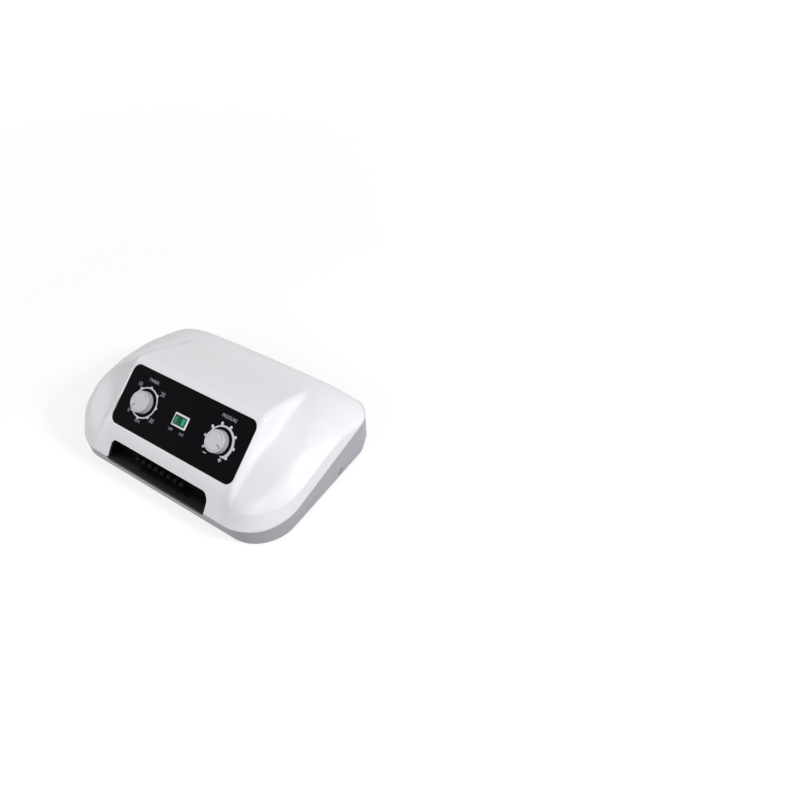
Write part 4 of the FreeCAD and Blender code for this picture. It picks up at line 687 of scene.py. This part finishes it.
def add_key(name, node, material):
    """The rocker: its section is a shallow V between two arcs about the pivot, drawn out over
    10.4 mm with rounded ends and turned by KEY_TILT about the pivot. Its attribute, from 0 to 1,
    is where light comes through the top, plus two painted highlight spots."""
    top_half, half_long, end_radius = 7.55, 8.2, 8.7
    half_wide, edge_round = 5.2, 0.55
    heart_n, heart_high = -0.8, 2.6  # the section shrinks to its heart at the rounded ends
    a = np.linspace(-top_half, top_half, 76)
    top = np.column_stack([a, 1.1 + 1.2 * (np.sqrt((a / half_long) ** 2 + 0.003) - 0.05)])
    rise = np.arctan2(top[-1, 1] - KEY_PIVOT_N, top_half)
    arc = np.linspace(rise, np.arccos(half_long / end_radius), 6)[1:]
    end = np.column_stack([end_radius * np.cos(arc), KEY_PIVOT_N + end_radius * np.sin(arc)])
    under = [(half_long, -1.0), (5.7, -3.6), (-5.7, -3.6), (-half_long, -1.0)]
    outline = np.vstack([top, end, under, end[::-1] * [-1, 1]])
    near_end = np.array([4.65, 4.95, 5.13, half_wide])
    station = np.r_[-near_end[::-1], np.linspace(-4.3, 4.3, 36), near_end]
    depth = np.clip(np.abs(station) - (half_wide - edge_round), 0, edge_round)
    inset = edge_round - np.sqrt(np.maximum(edge_round ** 2 - depth ** 2, 0))
    grid_a = outline[None, :, 0] * (1 - inset[:, None] / half_long)
    grid_n = heart_n + (outline[None, :, 1] - heart_n) * (1 - inset[:, None] / heart_high)
    grid_v = np.broadcast_to(station[:, None], grid_a.shape)

    # two lit windows, then two painted highlight spots: strength, place, squash and radius
    lamp_and_glints = (0.42 * smooth_band(grid_a, -6.3, -3.9, 0.9) + smooth_band(grid_a, 2.0, 6.2, 1.0)) \
        * smooth_band(grid_v, -3.9, 3.9, 0.9)
    for strength, spot_a, spot_v, squash, radius in (
            (0.35, -0.9, -0.6, 0.7, 0.8), (0.16, -0.5, 1.7, 0.8, 0.7)):
        away = np.hypot(grid_a - spot_a, (grid_v - spot_v) / squash)
        lamp_and_glints = lamp_and_glints + strength * smooth_band(away, -1, radius, 0.5)
    lamp_and_glints = np.where(grid_n > 0.9, np.clip(lamp_and_glints, 0, 1), 0)

    n = grid_n - KEY_PIVOT_N
    across = grid_a * np.cos(KEY_TILT) + n * np.sin(KEY_TILT)
    out = KEY_PIVOT_N - grid_a * np.sin(KEY_TILT) + n * np.cos(KEY_TILT)
    points = face_points(KEY_U + across, KEY_V + grid_v, out).reshape(-1, 3)
    rows, columns = grid_a.shape
    middles = face_points(KEY_U, KEY_V + station[[0, -1]], heart_n)
    faces = [grid_faces(rows, columns), fan(len(points), np.arange(columns), flip=True),
             fan(len(points) + 1, (rows - 1) * columns + np.arange(columns))]
    key = add_piece(name, np.vstack([points, middles]), faces, material, "power_rocker", sharp=40.0)
    # the attribute stores the lamp windows and the two painted highlight spots
    lamp_and_glints_at = key.data.attributes.new("lamp_and_glints", "FLOAT", "POINT")
    lamp_and_glints_at.data.foreach_set("value", np.r_[lamp_and_glints.ravel(), 0, 0].astype(np.float32))
    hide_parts(node)


def inlay(u, v, inner, outer, degrees):
    """A printed band on the face: for each angle, clockwise from the top, a slab from its
    inner to its outer radius. Returns rows of four corners, one row for each angle."""
    angle = np.radians(degrees)
    su, sv = np.sin(angle), np.cos(angle)
    rows = [face_points(u + r * su, v + r * sv, n)
            for r, n in ((inner, 0.0), (outer, 0.0), (outer, PRINT_N), (inner, PRINT_N))]
    return np.stack(rows, 1)


def add_band(name, corners, closed, material, body="console"):
    """Skins rows of four corners: four long faces, and two end caps if it isn't a full ring."""
    count = len(corners)
    faces = [grid_faces(count, 4, wrap_rows=closed)]
    if not closed:
        faces += [[[3, 2, 1, 0]], [[(count - 1) * 4 + i for i in range(4)]]]
    return add_piece(name, corners.reshape(-1, 3), faces, material, body, sharp=30.0)


def add_pointer(name, body, u, degrees, start, end, material):
    """A straight inked line on a knob, from one radius to another: a slab, sunk into its top."""
    half_wide, proud, sunk = 0.45, 0.03, 0.5
    a, reach = np.radians(degrees), np.linspace(start, end, 13)
    rows = [face_points(u + side * np.cos(a) + reach * np.sin(a),
                        DIAL_V - side * np.sin(a) + reach * np.cos(a), KNOB_TOP_N + n)
            for side, n in ((half_wide, -sunk), (-half_wide, -sunk), (-half_wide, proud), (half_wide, proud))]
    add_band(name, np.stack(rows, 1), False, material, body)


def timer_band(middle):
    """The timer's ring: 1.7 mm wide, with eight pointed marks whose height is 2.1 mm times
    (1 - distance / 2.6 mm) to the power of 1.2."""
    half_wide, mark_high, mark_reach, mark_step = 0.85, 2.1, 2.6, 45
    degrees = np.arange(0, 360, 0.5)
    off_mark = np.abs((degrees + mark_step / 2) % mark_step - mark_step / 2)
    mark = np.clip(1 - np.radians(off_mark) * middle / mark_reach, 0, 1) ** 1.2
    inner, outer = np.full(len(degrees), middle - half_wide), middle + half_wide + mark_high * mark
    return inlay(-DIAL_U, DIAL_V, inner, outer, degrees)


def pressure_band():
    """The pressure dial's ring: it grows outwards by 2.6 mm times the power 1.3 of the way
    round, with eight round stubs. Its head runs out to a point, and its tail bends inwards."""
    inside, outside, growth = 16.4, 17.5, 2.6
    stub_at, stub_round, stub_step, last = 20.4, 1.75, 36, 126
    degrees = np.arange(-133, 151.1, 0.5)
    outer = outside + growth * np.clip((degrees + last) / (2 * last), 0, 1) ** 1.3
    for stub in np.arange(-last, last + 1, stub_step):
        offset = np.radians(degrees - stub)
        chord = stub_round ** 2 - (stub_at * np.sin(offset)) ** 2
        round_end = stub_at * np.cos(offset) + np.sqrt(np.maximum(chord, 0))
        outer = np.maximum(outer, np.where((chord > 0) & (np.abs(offset) < 0.5), round_end, 0))
    tail = np.clip((degrees - 131) / 20, 0, 1)
    head = np.clip((-127 - degrees) / 6, 0, 1)
    inward = 1.6 * tail
    outer = outer * (1 - tail) + (inside + 0.1) * tail - inward
    inner = inside - inward
    outer = outer * (1 - head) + (inner + 0.2) * head
    return inlay(DIAL_U, DIAL_V, inner, outer, degrees)


def add_lettering(name, words, material):
    """Small words and numbers from Blender's own font, stood on the face. words is a list of
    (text, u, v, cap height in mm, width factor)."""
    proud, cap_height = 0.03, 0.7  # half the words' thickness, and the height of capitals
    points, faces, start = [], [], 0
    for text, u, v, height, wide in words:
        curve = bpy.data.curves.new(name, "FONT")
        curve.body = text
        curve.align_x, curve.align_y = "CENTER", "CENTER"
        curve.extrude, curve.resolution_u, curve.offset = proud, 4, 0.012
        source = new_object(name + "_curve", curve)
        bpy.context.view_layer.update()
        flat = bpy.data.meshes.new_from_object(source)
        spots = np.empty(len(flat.vertices) * 3)
        flat.vertices.foreach_get("co", spots)
        spots = spots.reshape(-1, 3)
        right, up = spots[:, 0] * height / cap_height * wide, spots[:, 1] * height / cap_height
        points.append(face_points(u + right, v + up, proud + spots[:, 2]))
        faces += [[start + i for i in p.vertices] for p in flat.polygons]
        start += len(spots)
        bpy.data.objects.remove(source)
        bpy.data.curves.remove(curve)
        bpy.data.meshes.remove(flat)
    mesh = bpy.data.meshes.new(name)
    mesh.from_pydata((np.vstack(points) * MM).tolist(), [], faces)
    mesh.materials.append(material)
    piece = new_object(name, mesh)
    piece.modifiers.new("weld", "WELD").merge_threshold = 0.002 * MM
    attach(piece, "console")


def add_lip(name, material):
    """The recess's lip over the tray's front edge: a thin L section drawn out along x, whose
    foot hangs down to LIP_LOW_Z and rises round each end as an arc of LIP_CORNER."""
    turn = LIP_CORNER * (1 - np.cos(np.radians(np.linspace(0, 90, 12))))
    left, right = SLOT_LEFT + LIP_INSET, SLOT_RIGHT - LIP_INSET
    x = np.r_[left + turn, np.linspace(left, right, 9)[1:-1], (right - turn)[::-1]]
    into_end = np.clip(LIP_CORNER - np.minimum(x - left, right - x), 0, LIP_CORNER)
    low = LIP_LOW_Z + LIP_CORNER - np.sqrt(LIP_CORNER ** 2 - into_end ** 2)
    front, sunk, back, over = FRONT_Y - LIP_PROUD, FRONT_Y + 0.05, FRONT_Y + WALL + 0.1, SEAM_FRONT_Z + 0.15
    section = [(front, low), (front, over - 0.5), (front + 0.15, over - 0.15), (front + 0.5, over),
               (back, over), (back, over - 0.3), (sunk, over - 0.3), (sunk, low)]
    grid = np.stack([np.stack(np.broadcast_arrays(x, y, z), -1) for y, z in section])
    columns = len(x)
    end = columns * np.arange(len(section))
    faces = [grid_faces(len(section), columns, True, False), end[None], end[None, ::-1] + columns - 1]
    lip = add_piece(name, grid.reshape(-1, 3), faces, material, "console", sharp=30.0)


def dress(nodes, material):
    """Gives CAD nodes a finish by filling every slot of their objects."""
    for node in nodes:
        for holder in frame["nodes"][node].material_slots:
            holder.material = material


def nodes_of(slot):
    """The frame's nodes that the record gives one material slot."""
    return [part["node"] for part in frame["record"]["subparts"] if part["material_slot"] == slot]


# ---------------- operators
class PUMP_OT_cover(bpy.types.Operator):
    """Build the white upper cover as one smooth shell"""
    bl_idname = "pump.cover"
    bl_label = "Upper cover"

    def execute(self, context):
        sizes = context.scene.pump_casing
        grid = cover_grid(sizes)
        faces = grid_faces(*grid.shape[:2], wrap_rows=True)
        normals = np.zeros_like(grid)
        normals[1:SKIN_ROWS] = slope_of(grid[1:SKIN_ROWS], sizes)
        shell = add_piece("upper_cover", grid.reshape(-1, 3), [faces], cover_abs(sizes.cover_colour),
                          "console", sharp=50.0, normals=normals.reshape(-1, 3))
        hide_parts("top_shell")
        return {"FINISHED"}


class PUMP_OT_tray(bpy.types.Operator):
    """Finish the grey tray"""
    bl_idname = "pump.tray"
    bl_label = "Base tray"

    def execute(self, context):
        dress(nodes_of("grey_abs"), tray_abs(context.scene.pump_casing.tray_colour))
        return {"FINISHED"}


class PUMP_OT_outlets(bpy.types.Operator):
    """Finish the hose recess and its row of outlets"""
    bl_idname = "pump.outlets"
    bl_label = "Hose outlets"

    def execute(self, context):
        black = recess_abs()
        dress(["recess_liner"], black)
        add_lip("recess_lip", black)
        dress(["outlet_manifold"], nozzle_nylon())
        return {"FINISHED"}


class PUMP_OT_label(bpy.types.Operator):
    """Finish the label and print its dials and lettering"""
    bl_idname = "pump.label"
    bl_label = "Label and print"

    def execute(self, context):
        sizes = context.scene.pump_controls
        dress(["control_label"], label_film(sizes.label_colour))
        ink = screen_ink("screen_ink_pale", sizes.print_colour)
        grey_ink = screen_ink("screen_ink_grey", sizes.lettering_colour)
        add_band("timer_ring", timer_band(sizes.dial_radius / MM), True, ink)
        add_band("pressure_ring", pressure_band(), False, ink)
        add_lettering("dial_signs", [
            ("−", 46.4, -18.5, 6.8, 1.0), ("+", 68.2, -18.1, 6.8, 1.0)], ink)
        add_lettering("dial_numbers", [
            ("10", -75.9, 16.2, 5.0, 0.92), ("20", -39.0, 16.4, 5.0, 0.92),
            ("30", -38.2, -15.6, 5.0, 0.92), ("0", -75.2, -16.2, 5.0, 0.92)], grey_ink)
        add_lettering("dial_words", [
            ("TIMER", -58.6, 25.6, 3.7, 1.1), ("PRESSURE", 57.5, 26.6, 3.7, 0.92),
            ("ON", -57.1, -22.9, 3.4, 1.0), ("OFF", -8.9, -13.2, 2.9, 0.9),
            ("ON", 8.0, -13.2, 2.9, 0.95)], grey_ink)
        return {"FINISHED"}


class PUMP_OT_knobs(bpy.types.Operator):
    """Build the two ribbed dial knobs"""
    bl_idname = "pump.knobs"
    bl_label = "Dial knobs"

    def execute(self, context):
        sizes = context.scene.pump_controls
        lacquer = knob_lacquer(sizes.knob_colour)
        ink = screen_ink("screen_ink_dark", sizes.pointer_colour)
        rests = (("timer_dial_knob", "timer_knob", "timer_dial", -DIAL_U, -138.0, 10.2),
                 ("pressure_dial_knob", "pressure_knob", "pressure_dial", DIAL_U, 113.0, 12.0))
        for name, node, body, u, degrees, end in rests:
            add_knob(name, node, body, u, sizes, lacquer)
            add_pointer(name + "_pointer", body, u, degrees, 5.3, end, ink)
        return {"FINISHED"}


class PUMP_OT_switch(bpy.types.Operator):
    """Build the lit rocker and finish its frame"""
    bl_idname = "pump.switch"
    bl_label = "Rocker switch"

    def execute(self, context):
        sizes = context.scene.pump_controls
        dress(["switch_housing"], frame_nylon())
        add_key("lit_rocker", "switch_rocker", clear_green(sizes.key_colour, sizes.lamp_colour))
        return {"FINISHED"}


class PUMP_OT_works(bpy.types.Operator):
    """Finish the works, the feet and the fittings at the back"""
    bl_idname = "pump.works"
    bl_label = "Inner works"

    def execute(self, context):
        done = ("recess_liner", "outlet_manifold", "switch_housing")
        for slot, material in works_finishes().items():
            dress([node for node in nodes_of(slot) if node not in done], material)
        return {"FINISHED"}


class PUMP_OT_stage(bpy.types.Operator):
    """Set the floor, the studio lights and the camera"""
    bl_idname = "pump.stage"
    bl_label = "Stage"

    def execute(self, context):
        scene, sizes = context.scene, context.scene.pump_stage
        self.add_floor(sizes)
        self.add_lights(scene, sizes)
        data = bpy.data.cameras.new("studio_camera")
        data.lens, data.sensor_width = sizes.lens, 36.0
        data.clip_start, data.clip_end = 0.05, 50.0
        scene.camera = self.stand(data, (0.84779, 0.53013, -0.01467), (-0.35614, 0.58959, 0.72494),
                                  (0.39296, -0.60938, 0.68865), (0.45561, -0.30548, 0.54249))
        scene.view_settings.view_transform = "Standard"
        return {"FINISHED"}

    def stand(self, data, right, up, back, spot):
        """Puts a camera or a light at a spot, looking away from back."""
        holder = new_object(data.name, data)
        rows = [[float(way[i]) for way in (right, up, back, spot)] for i in range(3)]
        holder.matrix_world = Matrix(rows + [[0, 0, 0, 1]])
        return holder

    def add_floor(self, sizes):
        """A plain floor, seen as near white, that keeps its shadows and glows a little more far
        out, where the lights no longer reach."""
        half = 6.0
        mesh = bpy.data.meshes.new("floor")
        corners = [(x * half, y * half, 0) for x, y in ((-1, -1), (1, -1), (1, 1), (-1, 1))]
        mesh.from_pydata(corners, [], [range(4)])
        floor = new_object("floor", mesh)
        material, tree, place = new_material("painted_floor")
        base = sizes.floor_colour
        tone = add_node(tree, "ShaderNodeTexNoise", {"Vector": place, "Scale": 1 / (400 * MM)}).outputs["Fac"]
        matt = add_node(tree, "ShaderNodeBsdfPrincipled", {
            "Base Color": mixed(tree, tone, darker(base, 0.33), darker(base, 0.32)),
            "Roughness": 0.9, "Specular IOR Level": 0.1})
        away = add_node(tree, "ShaderNodeVectorMath", {0: place}, operation="LENGTH")
        lift = add_node(tree, "ShaderNodeMapRange", {
            "Value": away.outputs["Value"], "From Min": 0.5, "From Max": 2.5, "To Min": 0.74, "To Max": 0.88})
        glow, dark = (white_light(tree, "ShaderNodeEmission", strength)
                      for strength in (lift.outputs["Result"], 0.0))
        both = add_node(tree, "ShaderNodeAddShader", {0: matt.outputs["BSDF"], 1: by_ray(tree, dark, glow)})
        add_node(tree, "ShaderNodeOutputMaterial", {"Surface": both.outputs[0]})
        mesh.materials.append(material)

    def add_lights(self, scene, sizes):
        """A light on the right, a wide weaker one in front, and even light from a white room."""
        scene.world = bpy.data.worlds.new("studio")
        scene.world.use_nodes = True
        tree = scene.world.node_tree
        tree.nodes.clear()
        room, seen = (white_light(tree, "ShaderNodeBackground", strength)
                      for strength in (sizes.room_light, 1.0))
        add_node(tree, "ShaderNodeOutputWorld", {"Surface": by_ray(tree, room, seen)})
        aim = np.array([0, 0, 0.05])
        for name, watts, width, height, spot in (
                ("key_light", sizes.key_power, 0.5, 0.4, (2.09, 0.52, 1.3)),
                ("fill_light", sizes.fill_power, 1.4, 1.0, (0.05, -1.85, 1.25))):
            data = bpy.data.lights.new(name, "AREA")
            data.shape = "RECTANGLE"
            data.energy, data.size, data.size_y = watts, width, height
            back = (spot - aim) / np.linalg.norm(spot - aim)
            right = np.cross([0, 1, 0.001], back)
            right /= np.linalg.norm(right)
            self.stand(data, right, np.cross(back, right), back, spot)


class PUMP_PT_panel(bpy.types.Panel):
    """Lists the steps and their settings"""
    bl_idname = "PUMP_PT_panel"
    bl_label = "Compression pump"
    bl_space_type = "VIEW_3D"
    bl_region_type = "UI"
    bl_category = "Pump"

    def draw(self, context):
        for step in STEPS:
            self.layout.operator(step.bl_idname)
        for group in GROUPS:
            settings = getattr(context.scene, group)
            for name in settings.bl_rna.properties.keys():
                if name not in ("rna_type", "name"):
                    self.layout.prop(settings, name)


STEPS = (PUMP_OT_stage, PUMP_OT_cover, PUMP_OT_tray, PUMP_OT_outlets, PUMP_OT_label, PUMP_OT_knobs,
         PUMP_OT_switch, PUMP_OT_works)
GROUPS = {"pump_casing": PumpCasing, "pump_controls": PumpControls, "pump_stage": PumpStage}
CLASSES = (*GROUPS.values(), *STEPS, PUMP_PT_panel)


def register():
    for item in CLASSES:
        bpy.utils.register_class(item)
    for name, group in GROUPS.items():
        setattr(bpy.types.Scene, name, PointerProperty(type=group))


def unregister():
    for name in GROUPS:
        delattr(bpy.types.Scene, name)
    for item in reversed(CLASSES):
        bpy.utils.unregister_class(item)


def main():
    """Registers the steps and builds every piece in order."""
    register()
    for step in STEPS:
        getattr(bpy.ops.pump, step.bl_idname.partition(".")[2])()


if __name__ == "__main__":
    main()
